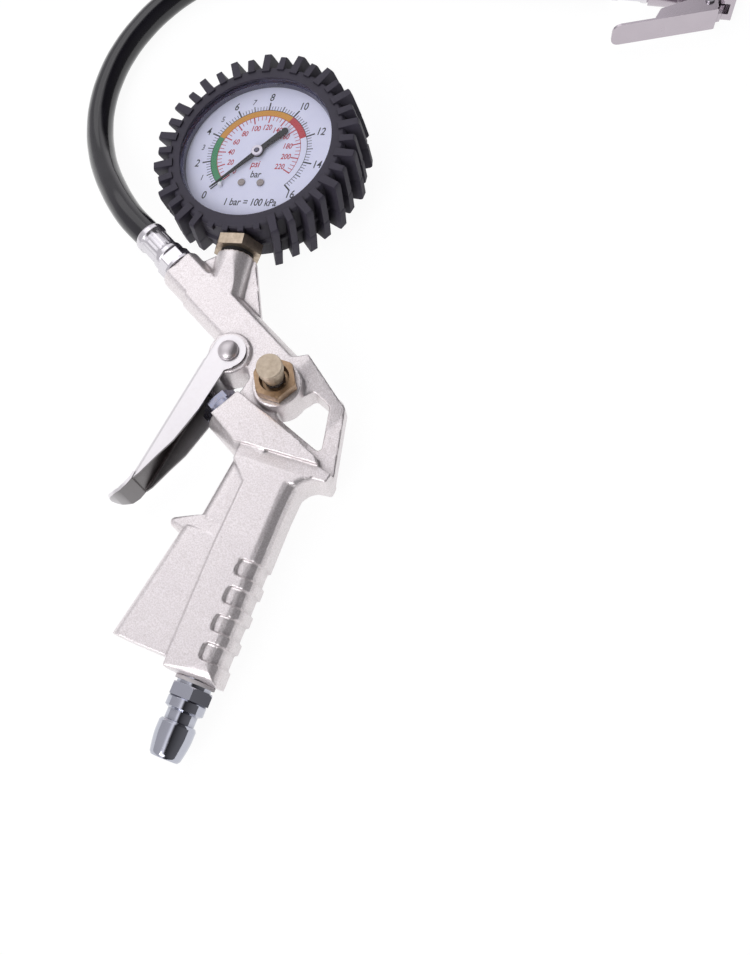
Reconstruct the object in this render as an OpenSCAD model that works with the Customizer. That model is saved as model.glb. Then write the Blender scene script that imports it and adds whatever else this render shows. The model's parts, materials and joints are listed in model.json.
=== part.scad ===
// Hand-held tyre inflator: a die-cast pistol body with a squeeze trigger, a
// push-button bleed valve, a dial gauge in a rubber tread boot, a male quick
// plug below the grip and a short hose with a clip-on chuck.
// The body is drawn with its mid plane at z = 0 and the trigger pivot at the
// origin, x across the grip and y up along it. It is then laid on its side.

/* [Barrel] */
// Slope of the barrel below the X axis, in degrees
barrel_slope = 28; // [26:0.5:30]
// Radius of the barrel
barrel_r = 8.2; // [7.8:0.1:8.8]
// Distance from the trigger pivot to the barrel's centre line
barrel_rise = 8.4; // [8:0.1:9]
// Half the distance between the two flats of the barrel
flat_half = 6; // [5.6:0.1:6.4]
// Length from the trigger pivot back to the hose port, along the barrel
port_reach = 40; // [38:0.5:44]
// Radius of the round boss at the hose port
port_r = 7.6; // [7.2:0.1:7.9]
// Length of the round boss at the hose port
port_boss = 12; // [9:0.5:13]
// Radius of the air passages
passage_r = 1.8; // [1.4:0.1:2.2]

/* [Neck and gussets] */
// Place of the neck's mouth, across the grip
neck_x = -14.4; // [-16:0.1:-13]
// Place of the neck's mouth, along the grip
neck_y = 36; // [35:0.1:38]
// Lean of the neck from the Y axis, in degrees
neck_lean = 10; // [8:0.5:12]
// Radius of the neck
neck_r = 6.7; // [6.5:0.1:7]
// Half the thickness of the gussets beside the neck
gusset_half = 1.7; // [1.2:0.1:2.4]

/* [Head and hanging window] */
// Half the thickness of the frame round the window
tail_half = 3.3; // [2.8:0.1:4]
// Outer corner of the tail frame, across the grip
tail_x = 48.4; // [46:0.2:51]
// Width of the strip that closes the window at the back
tail_strip = 6.8; // [5:0.2:8]
// Radius of the boss round the trigger pivot
pivot_boss_r = 7.2; // [6.8:0.1:7.6]
// Half the width of the boss round the trigger pivot
pivot_boss_half = 6.95; // [6.7:0.05:7]

/* [Valve housing] */
// Distance from the trigger pivot down to the valve's centre line
valve_drop = 13.4; // [13:0.1:14]
// Place of the valve housing's end face, along the barrel
housing_face = 13; // [12.6:0.1:14]
// Radius of the valve housing
housing_r = 7.7; // [7.4:0.1:8]
// Half the thickness of the valve housing
housing_half = 8.4; // [8:0.1:8.8]
// Radius of the valve bore
valve_bore_r = 4.6; // [4.4:0.1:5]
// Depth of the valve bore behind the end face
valve_bore_depth = 30; // [28:0.5:31]

/* [Grip] */
// Left side of the grip's raised panel
grip_x = 21; // [20:0.2:22]
// Width of the grip's raised panel
grip_w = 18; // [17:0.2:19]
// Distance from the trigger pivot down to the grip's end
grip_low = 102; // [98:0.5:108]
// Half the thickness of the grip
grip_half = 8.8; // [8.4:0.1:9.2]
// Half the thickness of the shoulder under the valve housing
shoulder_half = 6.8; // [6.4:0.1:7.2]
// Rounding along the back of the grip
grip_round = 5.2; // [4:0.2:6]
// How far the fin of the grip is set below the panel
fin_step = 0.7; // [0.3:0.1:1]
// Rounding along the front edge of the fins
fin_round = 3.4; // [2.4:0.2:4]
// How far the finger hook stands out in front of the panel
hook_reach = 17; // [14:0.5:18]
// Distance from the trigger pivot down to the finger hook's tip
hook_drop = 58.9; // [57:0.1:60]
// Number of finger notches on the back of the grip
notch_count = 4; // [2:1:4]
// Distance from one notch to the next
notch_pitch = 9.15; // [8.6:0.05:9.4]
// Height of one notch
notch_h = 5.6; // [4:0.1:6]
// Depth of the notches
notch_depth = 0.9; // [0.5:0.1:1.2]

/* [Trigger] */
// Half the outer width of the trigger
lever_half = 8.2; // [8.1:0.05:8.3]
// Thickness of the trigger's sheet metal
lever_t = 1; // [0.9:0.05:1.05]
// Radius of the trigger's round ears
ear_r = 5.85; // [5.4:0.05:6.2]
// Bend radius along the trigger's edges, outside
lever_bend = 2; // [1.6:0.1:3]
// Radius of the pivot pin
pin_r = 2.2; // [1.8:0.1:2.5]
// Radius of the pivot pin's domed head
pin_head_r = 2.9; // [2.7:0.1:3.4]
// Running clearance between pins and their holes
running_gap = 0.05; // [0.03:0.01:0.08]

/* [Bleed valve] */
// Place of the bleed valve, across the grip
bleed_x = 20.3; // [19.8:0.1:20.8]
// Place of the bleed valve, along the grip
bleed_y = -6.3; // [-6.8:0.1:-5.8]
// Height of the bleed valve's pad above the mid plane
pad_top = 10.2; // [9.6:0.1:11]
// Radius of the pad
pad_r = 8.1; // [7.8:0.1:8.6]
// Width across the flats of the bleed nut
bleed_af = 12.8; // [12:0.2:14]
// Height of the bleed nut
bleed_nut_h = 4.8; // [4.2:0.1:5.4]
// Radius of the bleed button's head
button_r = 4.2; // [3.8:0.1:4.4]
// Travel of the bleed button
button_travel = 2; // [1.6:0.1:2.2]

/* [Gauge] */
// Length of the stem between the neck's mouth and the boot
stem_len = 7.5; // [7:0.1:9]
// Turn of the gauge about its stem, in degrees
gauge_turn = 7.6; // [0:0.2:10]
// Radius of the gauge's steel case
case_r = 30.4; // [30:0.1:30.8]
// Width of the rim between the case's outside and the opening over the dial
rim_w = 2.3; // [1.8:0.1:2.8]
// Height of the dial above the stem's centre line
dial_z = 3.2; // [2.6:0.1:3.6]
// Length of the pointer from its spindle to its tip
pointer_len = 21.2; // [19:0.2:23]
// Width across the flats of the gauge socket
socket_af = 15.4; // [14:0.2:16]

/* [Rubber boot] */
// Thickness of the boot's wall between its tread blocks
boot_t = 2.6; // [2.2:0.1:3.2]
// Height of the tall tread blocks
lug_h = 5.5; // [4:0.1:7]
// How much lower every second tread block is
lug_drop = 1.3; // [0:0.1:2.4]
// Number of tread blocks round the boot
lug_count = 36; // [24:2:36]
// Height of the boot's front lip above the stem's centre line
boot_front = 8.4; // [8.2:0.1:9]
// Depth of the boot's back below the stem's centre line
boot_back = 11; // [10.6:0.1:12]

/* [Hose and chuck] */
// Radius of the hose
hose_r = 5.1; // [4.8:0.1:5.3]
// Radius of the crimped ferrules
ferrule_r = 5.8; // [5.7:0.1:6.2]
// Length of the crimped ferrules
ferrule_len = 13.4; // [12:0.2:15]
// Radius of the chuck's body
chuck_r = 6.5; // [6:0.1:6.6]
// Length of the chuck from its mouth to its hose ferrule
chuck_len = 30; // [28:0.5:32]
// Radius of the chuck's mouth, over a valve's thread
mouth_r = 4.1; // [3.9:0.05:4.3]
// Half the width of the chuck's lever
clip_half = 4.9; // [4.7:0.1:5.1]

/* [Inlet plug] */
// Radius of the plug's nose
nose_r = 6; // [5.6:0.1:6.2]
// Width across the flats of the plug's hexagon
plug_af = 12.6; // [12:0.1:13]
// Length of the plug from the grip's end to its tip
plug_len = 24.8; // [23:0.2:27]
// Radius of the plug's thread in the grip
plug_thread_r = 5.6; // [5.2:0.1:6]

/* [Hidden] */

// Fineness of round surfaces and of the bends in outlines
round_fn = 64;
hull_fn = 28;
bend_steps = 5;
// Gap between pieces that sit beside each other on one body
seat_gap = 0.05;
// Gap between pieces on bodies that move against each other
move_gap = 0.3;
// Overlap that joins the parts of one casting
weld = 0.6;
window_r = case_r - rim_w;
boot_r = case_r + boot_t;
lug_r = boot_r + lug_h;
gauge_along = boot_r + stem_len;

// ---------------------------------------------------------------- helpers

function unit(v) = v / norm(v);

// Points of the rounded corner b between the neighbours a and c
function corner(a, b, c, r, n) =
    r <= 0 ? [b] :
    let (
        p = unit(a - b),
        q = unit(c - b),
        half = acos(p * q) / 2,
        centre = b + unit(p + q) * r / sin(half),
        from = b + p * r / tan(half) - centre,
        to = b + q * r / tan(half) - centre,
        start = atan2(from.y, from.x),
        sweep = atan2(from.x * to.y - from.y * to.x, from * to)
    )
    [for (i = [0 : n]) centre + r * [cos(start + sweep * i / n), sin(start + sweep * i / n)]];

// An outline [x, y, r] with each corner rounded to its own radius r
function rounded(pts, n = bend_steps) =
    let (m = len(pts))
    [for (i = [0 : m - 1])
        let (a = pts[(i + m - 1) % m], b = pts[i], c = pts[(i + 1) % m])
        each corner([a.x, a.y], [b.x, b.y], [c.x, c.y], b[2], n)];

// Inward normal of the edge from a to b of a counterclockwise outline
function inward(a, b) = let (d = unit(b - a)) [-d.y, d.x];

// Outline moved inward by the distance w[i] * t at each point i
function inset(pts, w, t) =
    let (m = len(pts))
    [for (i = [0 : m - 1])
        let (
            a = inward(pts[(i + m - 1) % m], pts[i]),
            b = inward(pts[i], pts[(i + 1) % m])
        )
        pts[i] + (a + b) / (1 + a * b) * w[i] * t];

// Faces that close a stack of rings with m points each, counterclockwise from the end
function skin(m, rings) = concat(
    [[for (i = [0 : m - 1]) i]],
    [for (k = [0 : rings - 2]) for (i = [0 : m - 1]) each
        [[k * m + i, (k + 1) * m + i, k * m + (i + 1) % m],
         [k * m + (i + 1) % m, (k + 1) * m + i, (k + 1) * m + (i + 1) % m]]],
    [[for (i = [0 : m - 1]) rings * m - 1 - i]]
);

// Plate whose edges are rounded by r where the weight w of a point is 1
module soft_plate(pts, w, half, r, steps = 4) {
    low = [for (k = [0 : steps]) [-half + r * (1 - cos(90 * k / steps)), r * (1 - sin(90 * k / steps))]];
    high = [for (k = [steps : -1 : 0]) [-low[k][0], low[k][1]]];
    rings = concat(low, high);
    points = [for (g = rings) for (p = inset(pts, w, g[1])) [p.x, p.y, g[0]]];
    polyhedron(points, skin(len(pts), len(rings)));
}

// Tube of radius r along a list of points, closed at its ends
module tube_along(path, r, sides) {
    last = len(path) - 1;
    points = [for (i = [0 : last])
        let (
            d = unit(path[min(i + 1, last)] - path[max(i - 1, 0)]),
            u = unit(cross(d, abs(d.z) > 0.9 ? [1, 0, 0] : [0, 0, 1])),
            v = cross(d, u)
        )
        for (k = [0 : sides - 1])
            path[i] + r * (cos(360 * k / sides) * u + sin(360 * k / sides) * v)];
    polyhedron(points, skin(sides, last + 1));
}

// Centre line of a compression spring with eight points in each turn
function helix(r, turns, height) =
    let (n = round(8 * turns))
    [for (i = [0 : n]) [r * cos(45 * i), r * sin(45 * i), height * i / n]];

// Least gap between the turns of a spring made of wire of radius wire_r
function turn_gap(path, wire_r) =
    min([for (i = [0 : len(path) - 1]) for (j = [i + 5 : 1 : len(path) - 1])
        norm(path[i] - path[j])]) - 2 * wire_r;

module hexagon(af, h) {
    cylinder(r = af / 2 / cos(30), h = h, $fn = 6);
}

module ring(outer, inner, h) {
    difference() {
        cylinder(r = outer, h = h, $fn = round_fn);
        translate([0, 0, -1]) cylinder(r = inner, h = h + 2, $fn = round_fn);
    }
}

module o_ring(mean_r, wire_r) {
    rotate_extrude($fn = round_fn) translate([mean_r, 0]) circle(r = wire_r, $fn = 20);
}

// ----------------------------------------------------------------- frames

// x along the barrel towards the tail, y square to it, away from the trigger
module barrel_frame() {
    rotate([0, 0, -barrel_slope]) children();
}

// z along the barrel's centre line, towards the tail
module on_barrel() {
    barrel_frame() translate([0, barrel_rise, 0]) rotate([0, 90, 0]) children();
}

// z along the valve's centre line, towards the tail
module on_valve() {
    barrel_frame() translate([0, -valve_drop, 0]) rotate([0, 90, 0]) children();
}

// y up along the gauge's stem from the neck's mouth
module on_neck() {
    translate([neck_x, neck_y, 0]) rotate([0, 0, neck_lean]) children();
}

// Origin at the centre of the dial, z out of its face
module on_gauge() {
    on_neck() translate([0, gauge_along, 0]) rotate([0, -gauge_turn, 0]) children();
}

module on_bleed() {
    translate([bleed_x, bleed_y, 0]) children();
}

// z down along the plug from the grip's end
module on_plug() {
    translate([plug_x, -grip_low, 0]) rotate([90, 0, 0]) children();
}

function barrel_pt(s, p) = [
    s * cos(barrel_slope) + p * sin(barrel_slope),
    -s * sin(barrel_slope) + p * cos(barrel_slope)
];

// Gun point of a point v in the gauge's frame
function gauge_pt(v) = [
    neck_x - gauge_along * sin(neck_lean) + v.x * cos(gauge_turn) * cos(neck_lean)
        - v.y * sin(neck_lean) - v.z * sin(gauge_turn) * cos(neck_lean),
    neck_y + gauge_along * cos(neck_lean) + v.x * cos(gauge_turn) * sin(neck_lean)
        + v.y * cos(neck_lean) - v.z * sin(gauge_turn) * sin(neck_lean),
    v.x * sin(gauge_turn) + v.z * cos(gauge_turn)
];

// Tilt that brings the boot's rim and the grip's end down to one floor
rim = gauge_pt([-lug_r, 0, -boot_back]);
heel = [grip_x + grip_w, -grip_low, -grip_half];
lie_tilt = atan((heel.z - rim.z) / (rim.y - heel.y));
floor_z = heel.y * sin(lie_tilt) + heel.z * cos(lie_tilt);

// Middle of the rigid part, seen from above
boot_centre = gauge_pt([0, 0, 0]);
mid_x = (boot_centre.x - lug_r + tail_x) / 2;
mid_y = (boot_centre.y + lug_r - grip_low - plug_len) / 2;

// Lays the gun on its side with its middle over the origin
module lay() {
    translate([-mid_x, -mid_y, -floor_z]) rotate([lie_tilt, 0, 0]) children();
}

// ------------------------------------------------------------ derived sizes

tail_end = barrel_pt(0, barrel_rise + barrel_r);
plug_x = grip_x + grip_w / 2 + 0.7;
boss_top = barrel_rise - barrel_r;
pin_hole_r = pin_r + running_gap;
grip_right = grip_x + grip_w;

// Ridge between the valve housing and the window
ridge = [[26.1, -18.3], [40.9, -24.7]];
housing_low = barrel_pt(housing_face, -valve_drop - 4.6);
housing_high = barrel_pt(housing_face, -valve_drop + 6.6);
tail_low = [tail_x, -30.6];
tail_top = [42.9, -5.4];

// ---------------------------------------------------------------- gun body

// Barrel and head plate between the flats, thinned towards the tail
module head() {
    difference() {
        head_shape();
        linear_extrude(60, center = true) window();
    }
}

// Opening in the tail, behind the valve housing
module window() {
    inner = [tail_x - tail_strip - 0.8, tail_low.y + 8.6];
    polygon(rounded([
        [21.6, -15, 1.6], [inner.x, inner.y, 1.2], [inner.x - 3, -6.4, 1.4], [31.2, -3.4, 1.4]
    ]));
}

module head_shape() {
    thin_from = 20;
    thin_to = 42;
    far = 60;
    intersection() {
        union() {
            on_barrel() translate([0, 0, port_boss - port_reach - weld])
                cylinder(r = barrel_r, h = port_reach - port_boss + 44, $fn = round_fn);
            on_barrel() translate([0, 0, -port_reach])
                cylinder(r = port_r, h = port_boss + weld, $fn = round_fn);
            linear_extrude(4 * flat_half, center = true) head_outline();
        }
        linear_extrude(5 * flat_half, center = true) polygon(rounded([
            [-60, -5, 0], [barrel_pt(-10, -1).x, barrel_pt(-10, -1).y, 0], [0, -14, 0],
            [20, -40, 0], [tail_low.x, tail_low.y, 0], [tail_top.x, tail_top.y, 3],
            [-10, 60, 0], [-60, 60, 0]
        ]));
        barrel_frame() rotate([90, 0, 0]) linear_extrude(120, center = true) polygon([
            [-far, -flat_half], [thin_from, -flat_half], [thin_to, -tail_half], [far, -tail_half],
            [far, tail_half], [thin_to, tail_half], [thin_from, flat_half], [-far, flat_half]
        ]);
    }
}

// Outline of the plate that joins the barrel, the valve housing and the tail
module head_outline() {
    notch = barrel_pt(housing_face - 1.5, boss_top - 1);
    polygon(rounded([
        [notch.x - 3, notch.y + 4, 0], [notch.x, notch.y, 0.8], [housing_high.x, housing_high.y, 0],
        [ridge[0].x, ridge[0].y - 3, 0], [tail_low.x - 4, tail_low.y - 0.2, 0],
        [tail_low.x, tail_low.y, 1.8], [tail_top.x, tail_top.y, 2.5], [25, 8, 0]
    ]));
}

// Round neck for the gauge, flattened down to the flats of the barrel
module neck() {
    depth = 24;
    low_half = flat_half - 0.1;
    on_neck() intersection() {
        rotate([90, 0, 0]) cylinder(r = neck_r, h = depth, $fn = round_fn);
        rotate([0, 90, 0]) linear_extrude(4 * neck_r, center = true) polygon([
            [-neck_r - 1, 1], [neck_r + 1, 1], [neck_r + 1, -3], [neck_r, -3], [low_half, -12],
            [low_half, -depth - 1], [-low_half, -depth - 1], [-low_half, -12], [-neck_r, -3],
            [-neck_r - 1, -3]
        ]);
    }
}

module gussets() {
    outer_top = [neck_x + 7.8, neck_y + 0.3];
    inner_top = [neck_x - 6, neck_y - 1.2];
    linear_extrude(2 * gusset_half, center = true) {
        polygon([outer_top, [neck_x, neck_y - 2], [-6, 17], [3.6, 16.6]]);
        polygon([inner_top, [neck_x - 9.4, neck_y - 4.4], [-26.5, 26], [-18, 21], [neck_x, neck_y - 4]]);
    }
}

// Outline of the lower casting: grip panel, back curve and shoulder
lower_outline = [
    [15.8, -34, 0], [grip_x + 0.8, -40, 0], [grip_x, -62, 0], [grip_x, -grip_low, 0.8],
    [grip_right, -grip_low, 0], [grip_right - 0.1, -46, 6], [grip_right + 0.4, -35.4, 5],
    [tail_low.x - 5.6, tail_low.y - 2.6, 2], [tail_low.x - 1, tail_low.y - 1.2, 1.4],
    [tail_low.x - 0.6, -28.4, 0.6], [ridge[1].x - 3, -25.6, 0], [15.8, -26.5, 0]
];

// How widely the casting's edge is rounded at a point of its outline
function edge_weight(p) =
    p.x < grip_right - 4 || p.x > tail_low.x - 4 || p.y > -32.6 ? 0.1 :
    p.y < -37 ? 1 : 0.5;

module lower_casting() {
    pts = rounded(lower_outline);
    low_slope = -27;
    high_slope = -32.6;
    flank = grip_half - 0.04;
    intersection() {
        soft_plate(pts, [for (p = pts) edge_weight(p)], grip_half, grip_round);
        rotate([0, 90, 0]) linear_extrude(200, center = true) polygon([
            [-shoulder_half, 0], [-shoulder_half, low_slope], [-flank, high_slope],
            [-flank, -grip_low - 9], [flank, -grip_low - 9], [flank, high_slope],
            [shoulder_half, low_slope], [shoulder_half, 0]
        ]);
    }
}

// Grip with finger notches that run round its back edge
module grip() {
    first = -62.9;
    reach = 8;
    core_x = grip_right - notch_depth;
    difference() {
        lower_casting();
        for (i = [0 : notch_count - 1])
            translate([grip_right - reach, first - i * notch_pitch - notch_h, -2 * grip_half])
                linear_extrude(4 * grip_half) polygon(rounded([
                    [0, 0, 1.6], [2 * reach, 0, 0], [2 * reach, notch_h, 0], [0, notch_h, 1.6]
                ]));
    }
    soft_plate(
        [[grip_x + 2, -grip_low + 2], [core_x, -grip_low + 2], [core_x, -60], [grip_x + 2, -60]],
        [0, 1, 1, 0], grip_half - notch_depth, grip_round - notch_depth / 2
    );
}

// Thin fins in front of the grip, above and below the finger hook
module fins() {
    half = grip_half - fin_step - fin_round;
    fin(15.8, -31, 13, -54, half);
    fin(9, -59, 1.5, -98, half);
}

module fin(x_top, y_top, x_low, y_low, half) {
    hull() {
        for (z = [-half, half]) {
            translate([x_top + fin_round, y_top, z]) rotate([90, 0, 0])
                cylinder(r = fin_round, h = 0.4, $fn = hull_fn);
            translate([x_low + fin_round, y_low, z]) rotate([90, 0, 0])
                cylinder(r = fin_round, h = 0.4, $fn = hull_fn);
        }
        translate([grip_x + 2, y_top - 0.4, -half - fin_round])
            cube([1, 0.4, 2 * (half + fin_round)]);
        translate([grip_x + 2, y_low - 0.9, -half - fin_round])
            cube([1, 0.4, 2 * (half + fin_round)]);
    }
}

// Finger hook in front of the grip
module hook() {
    tip_r = 1.75;
    tip = [grip_x - hook_reach + tip_r, -hook_drop];
    hull() {
        for (z = [-4.6, 4.6]) translate([tip.x, tip.y, z]) sphere(r = tip_r, $fn = 20);
        translate([grip_x - 8, -60.4, -7.6]) cube([0.5, 6, 15.2]);
        translate([grip_x + 2, -60.4, -8.2]) cube([0.5, 8.2, 16.4]);
    }
}

// Housing of the air valve, square above and round below
module housing() {
    crease = [[42.4, -26.9], [13.5, -28]];
    linear_extrude(2 * housing_half, center = true) polygon([
        housing_low, crease[1], crease[0], ridge[1], ridge[0], housing_high
    ]);
    on_valve() translate([0, 0, housing_face]) cylinder(r = housing_r, h = 22, $fn = round_fn);
}

module bores() {
    gauge_hole = 10;
    on_barrel() {
        translate([0, 0, -port_reach - 1])
            cylinder(r = passage_r + 1, h = port_reach + 23, $fn = round_fn);
        translate([0, 0, -port_reach - 1])
            cylinder(r = fitting_r + seat_gap, h = fitting_depth + 1, $fn = round_fn);
    }
    on_neck() rotate([90, 0, 0]) {
        translate([0, 0, -1]) cylinder(r = socket_r + seat_gap, h = gauge_hole + 1, $fn = round_fn);
        translate([0, 0, -1]) cylinder(r = passage_r, h = 26, $fn = round_fn);
    }
    on_valve() translate([0, 0, housing_face - 1])
        cylinder(r = valve_bore_r, h = valve_bore_depth + 1, $fn = round_fn);
    barrel_frame() translate([port_s, -valve_drop, 0]) rotate([-90, 0, 0])
        cylinder(r = passage_r, h = valve_drop + barrel_rise, $fn = round_fn);
    on_bleed() {
        translate([0, 0, bleed_seat])
            cylinder(r = bleed_shank_r + seat_gap, h = pad_top, $fn = round_fn);
        translate([0, 0, -2]) cylinder(r = 2.6, h = 12, $fn = round_fn);
    }
    on_plug() {
        translate([0, 0, 1]) rotate([180, 0, 0])
            cylinder(r = plug_thread_r + seat_gap, h = plug_depth + 1.6, $fn = round_fn);
        rotate([180, 0, 0]) cylinder(r = 3, h = grip_low - 31.6, $fn = round_fn);
    }
    cylinder(r = pin_hole_r, h = 60, center = true, $fn = round_fn);
}

// Sizes that the bores share with what fits in them
fitting_r = 4.8;
fitting_depth = 8;
socket_r = 4.3;
bleed_seat = 3.6;
bleed_shank_r = 4;
plug_depth = 11;
port_s = housing_face + 8;

module gun_body() {
    color("#cfc9cc") lay() difference() {
        union() {
            head();
            neck();
            gussets();
            cylinder(r = pivot_boss_r, h = 2 * pivot_boss_half, center = true, $fn = round_fn);
            on_bleed() translate([0, 0, -4]) cylinder(r = pad_r, h = pad_top + 4, $fn = round_fn);
            housing();
            grip();
            fins();
            hook();
        }
        bores();
    }
}

// ----------------------------------------------------------------- trigger

// Outer side of the trigger's web, from its top to the start of the spoon
web_top = [-7.6, -5];
// Gap between the trigger's web and the boss that it turns on
ear_gap = 0.15;
web_low = [-13.9, -50.4];
web_lean = atan((web_top.x - web_low.x) / (web_top.y - web_low.y));
// Free edge of the trigger's side walls, from the spoon up to the ears
wall_edge = [
    [-12.7, -50.6], [-11.4, -48.6], [-8.1, -40.9], [-5.1, -34.5], [-1.4, -22], [0, -13.8],
    [1.2, -6.8], [3.4, -5.2]
];

module trigger_lever() {
    color("#e4e2e4") lay() {
        difference() {
            channel();
            cylinder(r = pin_hole_r, h = 4 * lever_half, center = true, $fn = round_fn);
            translate([-3 * ear_r, web_top.y, -pivot_boss_half - ear_gap])
                cube([6 * ear_r, 3 * ear_r, 2 * (pivot_boss_half + ear_gap)]);
        }
        spoon();
    }
}

// Profile of the folded sheet: its web at x = 0 and its walls to either side
module fold(half, bend, from, to) {
    polygon(rounded([[from, -half, bend], [to, -half, 0], [to, half, 0], [from, half, bend]], 4));
}

// Folded sheet, with its walls cut to the trigger's side outline
module channel() {
    intersection() {
        translate([web_top.x, web_top.y, 0]) rotate([0, 0, -web_lean]) rotate([90, 0, 0])
            translate([0, 0, -16]) linear_extrude(70) difference() {
                fold(lever_half, lever_bend, 0, 24);
                fold(lever_half - lever_t, lever_bend - lever_t, lever_t, 30);
            }
        linear_extrude(4 * lever_half, center = true) {
            circle(r = ear_r, $fn = round_fn);
            polygon(concat(
                [[-ear_r + 0.1, 0.4], [-6.7, -4.5], web_top - [0.5, 0.1], web_low - [0.5, 0]],
                wall_edge, [[3.7, -4.4], [0, 0]]
            ));
        }
    }
}

// Round end of the trigger, curled away from the grip
module spoon() {
    outer = [
        [-13.45, -48.5], [-13.85, -50.6], [-14.7, -53], [-16, -55.2], [-18.1, -56.9], [-20.7, -58]
    ];
    inner = [
        [-20.3, -58.95], [-17.6, -57.8], [-15.2, -55.9], [-13.7, -53.3], [-12.95, -50.9],
        [-12.7, -48.5]
    ];
    curl = 48.7;
    start = 1.9;
    half = lever_half - 0.1;
    intersection() {
        linear_extrude(2 * lever_half + 2, center = true) polygon(concat(outer, inner));
        translate([-14, -50.5, 0]) rotate([0, 0, 180 + curl]) rotate([90, 0, 0])
            linear_extrude(40, center = true) polygon(concat(
                [[start - 12, -half]], [for (a = [-90 : 10 : 90]) [start + half * cos(a), half * sin(a)]],
                [[start - 12, half]]
            ));
    }
}

// Rivet that carries the trigger, with a domed head on the near side
module pivot_pin() {
    dome_h = 1.9;
    seat = lever_half + washer_t + 2 * seat_gap;
    dome_r = (pin_head_r * pin_head_r + dome_h * dome_h) / (2 * dome_h);
    color("#c9c6ca") lay() {
        translate([0, 0, -lever_half - 0.6])
            cylinder(r = pin_r, h = 2 * lever_half + 1, $fn = round_fn);
        intersection() {
            translate([0, 0, seat - washer_t + dome_h - dome_r]) sphere(r = dome_r, $fn = round_fn);
            translate([0, 0, seat - washer_t])
                cylinder(r = pin_head_r + 1, h = dome_h + 1, $fn = round_fn);
        }
        translate([0, 0, -seat - 1.1])
            cylinder(r1 = pin_head_r - 0.5, r2 = pin_head_r, h = 1.1, $fn = round_fn);
    }
}

washer_t = 0.4;

// Washer under the formed tail of the rivet, on the far side
module pivot_washer() {
    color("#b9b7bb") lay() translate([0, 0, -lever_half - washer_t - seat_gap])
        ring(pin_head_r + 0.6, pin_r + seat_gap, washer_t);
}

// --------------------------------------------------------------- air valve

bonnet_af = 11.6;
flange_t = 2.3;
bonnet_hex_t = 2.5;
sleeve_len = 10;
stem_r = 1.6;
seat_t = 3;
seat_s = housing_face + sleeve_len;
disc_s = seat_s + seat_t + seat_gap;
seal_t = 1.2;
disc_t = 2.2;
stem_tip_s = -1.1;

// Screwed bonnet that guides the valve stem
module valve_bonnet() {
    color("#9fa3ad") lay() on_valve() difference() {
        union() {
            translate([0, 0, housing_face - flange_t - bonnet_hex_t]) rotate([0, 0, 30])
                hexagon(bonnet_af, bonnet_hex_t + 0.2);
            translate([0, 0, housing_face - flange_t])
                cylinder(r = 6.3, h = flange_t, $fn = round_fn);
            translate([0, 0, housing_face - 0.2])
                cylinder(r = valve_bore_r - 2 * seat_gap, h = sleeve_len + 0.2, $fn = round_fn);
        }
        translate([0, 0, -20]) cylinder(r = stem_r + running_gap, h = 60, $fn = round_fn);
        translate([0, 0, housing_face + 4.5]) cylinder(r = 3.3, h = 20, $fn = round_fn);
        translate([0, 0, port_s]) rotate([90, 0, 0])
            cylinder(r = passage_r + 0.15, h = 30, center = true, $fn = round_fn);
    }
}

// O-ring on the stem, in the bonnet's sleeve
module stem_seal() {
    wire = 0.75;
    color("#1c1c1e") lay() on_valve() translate([0, 0, housing_face + 4.5 + wire + seat_gap])
        o_ring(stem_r + wire + running_gap, wire);
}

module valve_seat() {
    color("#b59a55") lay() on_valve() translate([0, 0, seat_s])
        ring(valve_bore_r - seat_gap, 2.4, seat_t);
}

// Push stem from the trigger's web to the valve disc
module valve_stem() {
    color("#b8bac0") lay() on_valve() {
        translate([0, 0, stem_tip_s + stem_r]) sphere(r = stem_r, $fn = 48);
        translate([0, 0, stem_tip_s + stem_r])
            cylinder(r = stem_r, h = disc_s - stem_tip_s - stem_r, $fn = round_fn);
        translate([0, 0, disc_s - 0.2]) cylinder(r = 1.2, h = seal_t + disc_t + 2, $fn = round_fn);
    }
}

module disc_seal() {
    color("#202022") lay() on_valve() translate([0, 0, disc_s]) ring(3.4, 1.25, seal_t);
}

module valve_disc() {
    color("#b59a55") lay() on_valve() translate([0, 0, disc_s + seal_t]) ring(3.6, 1.25, disc_t);
}

valve_spring_r = 2.6;
valve_wire_r = 0.35;
valve_spring_from = disc_s + seal_t + disc_t + valve_wire_r + seat_gap;
valve_spring_h = housing_face + valve_bore_depth - valve_wire_r - 2.9 - valve_spring_from;
module valve_spring() {
    color("#a8abb2") lay() on_valve() translate([0, 0, valve_spring_from])
        tube_along(helix(valve_spring_r, 5, valve_spring_h), valve_wire_r, 6);
}

// -------------------------------------------------------------- bleed valve

dish_depth = 2.7;
bleed_top = pad_top + bleed_nut_h;
dish_floor = bleed_top - dish_depth;
neck_foot = dish_floor + 3.7;
button_h = 3;
button_top = bleed_top + 9;
bleed_stem_r = 1.6;
bleed_spigot = 0.9;

// Brass nut with a dished top, screwed into the pad
module bleed_nut() {
    color("#a08550") lay() on_bleed() difference() {
        union() {
            translate([0, 0, pad_top + bleed_washer_t]) intersection() {
                hexagon(bleed_af, bleed_nut_h - bleed_washer_t);
                translate([0, 0, -2]) cylinder(
                    r1 = bleed_af / 2 + 3.2, r2 = bleed_af / 2 + 0.1, h = bleed_nut_h + 2.6,
                    $fn = round_fn
                );
            }
            translate([0, 0, bleed_seat + seat_gap])
                cylinder(r = bleed_shank_r, h = pad_top - bleed_seat + 1, $fn = round_fn);
        }
        translate([0, 0, dish_floor])
            cylinder(r1 = 4.4, r2 = 4.9, h = dish_depth + 0.01, $fn = round_fn);
        translate([0, 0, -20]) cylinder(r = bleed_stem_r + running_gap, h = 60, $fn = round_fn);
    }
}

bleed_washer_t = 0.5;
module bleed_washer() {
    color("#2a2a2c") lay() on_bleed() translate([0, 0, pad_top])
        ring(6.2, bleed_shank_r + seat_gap, bleed_washer_t);
}

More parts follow.
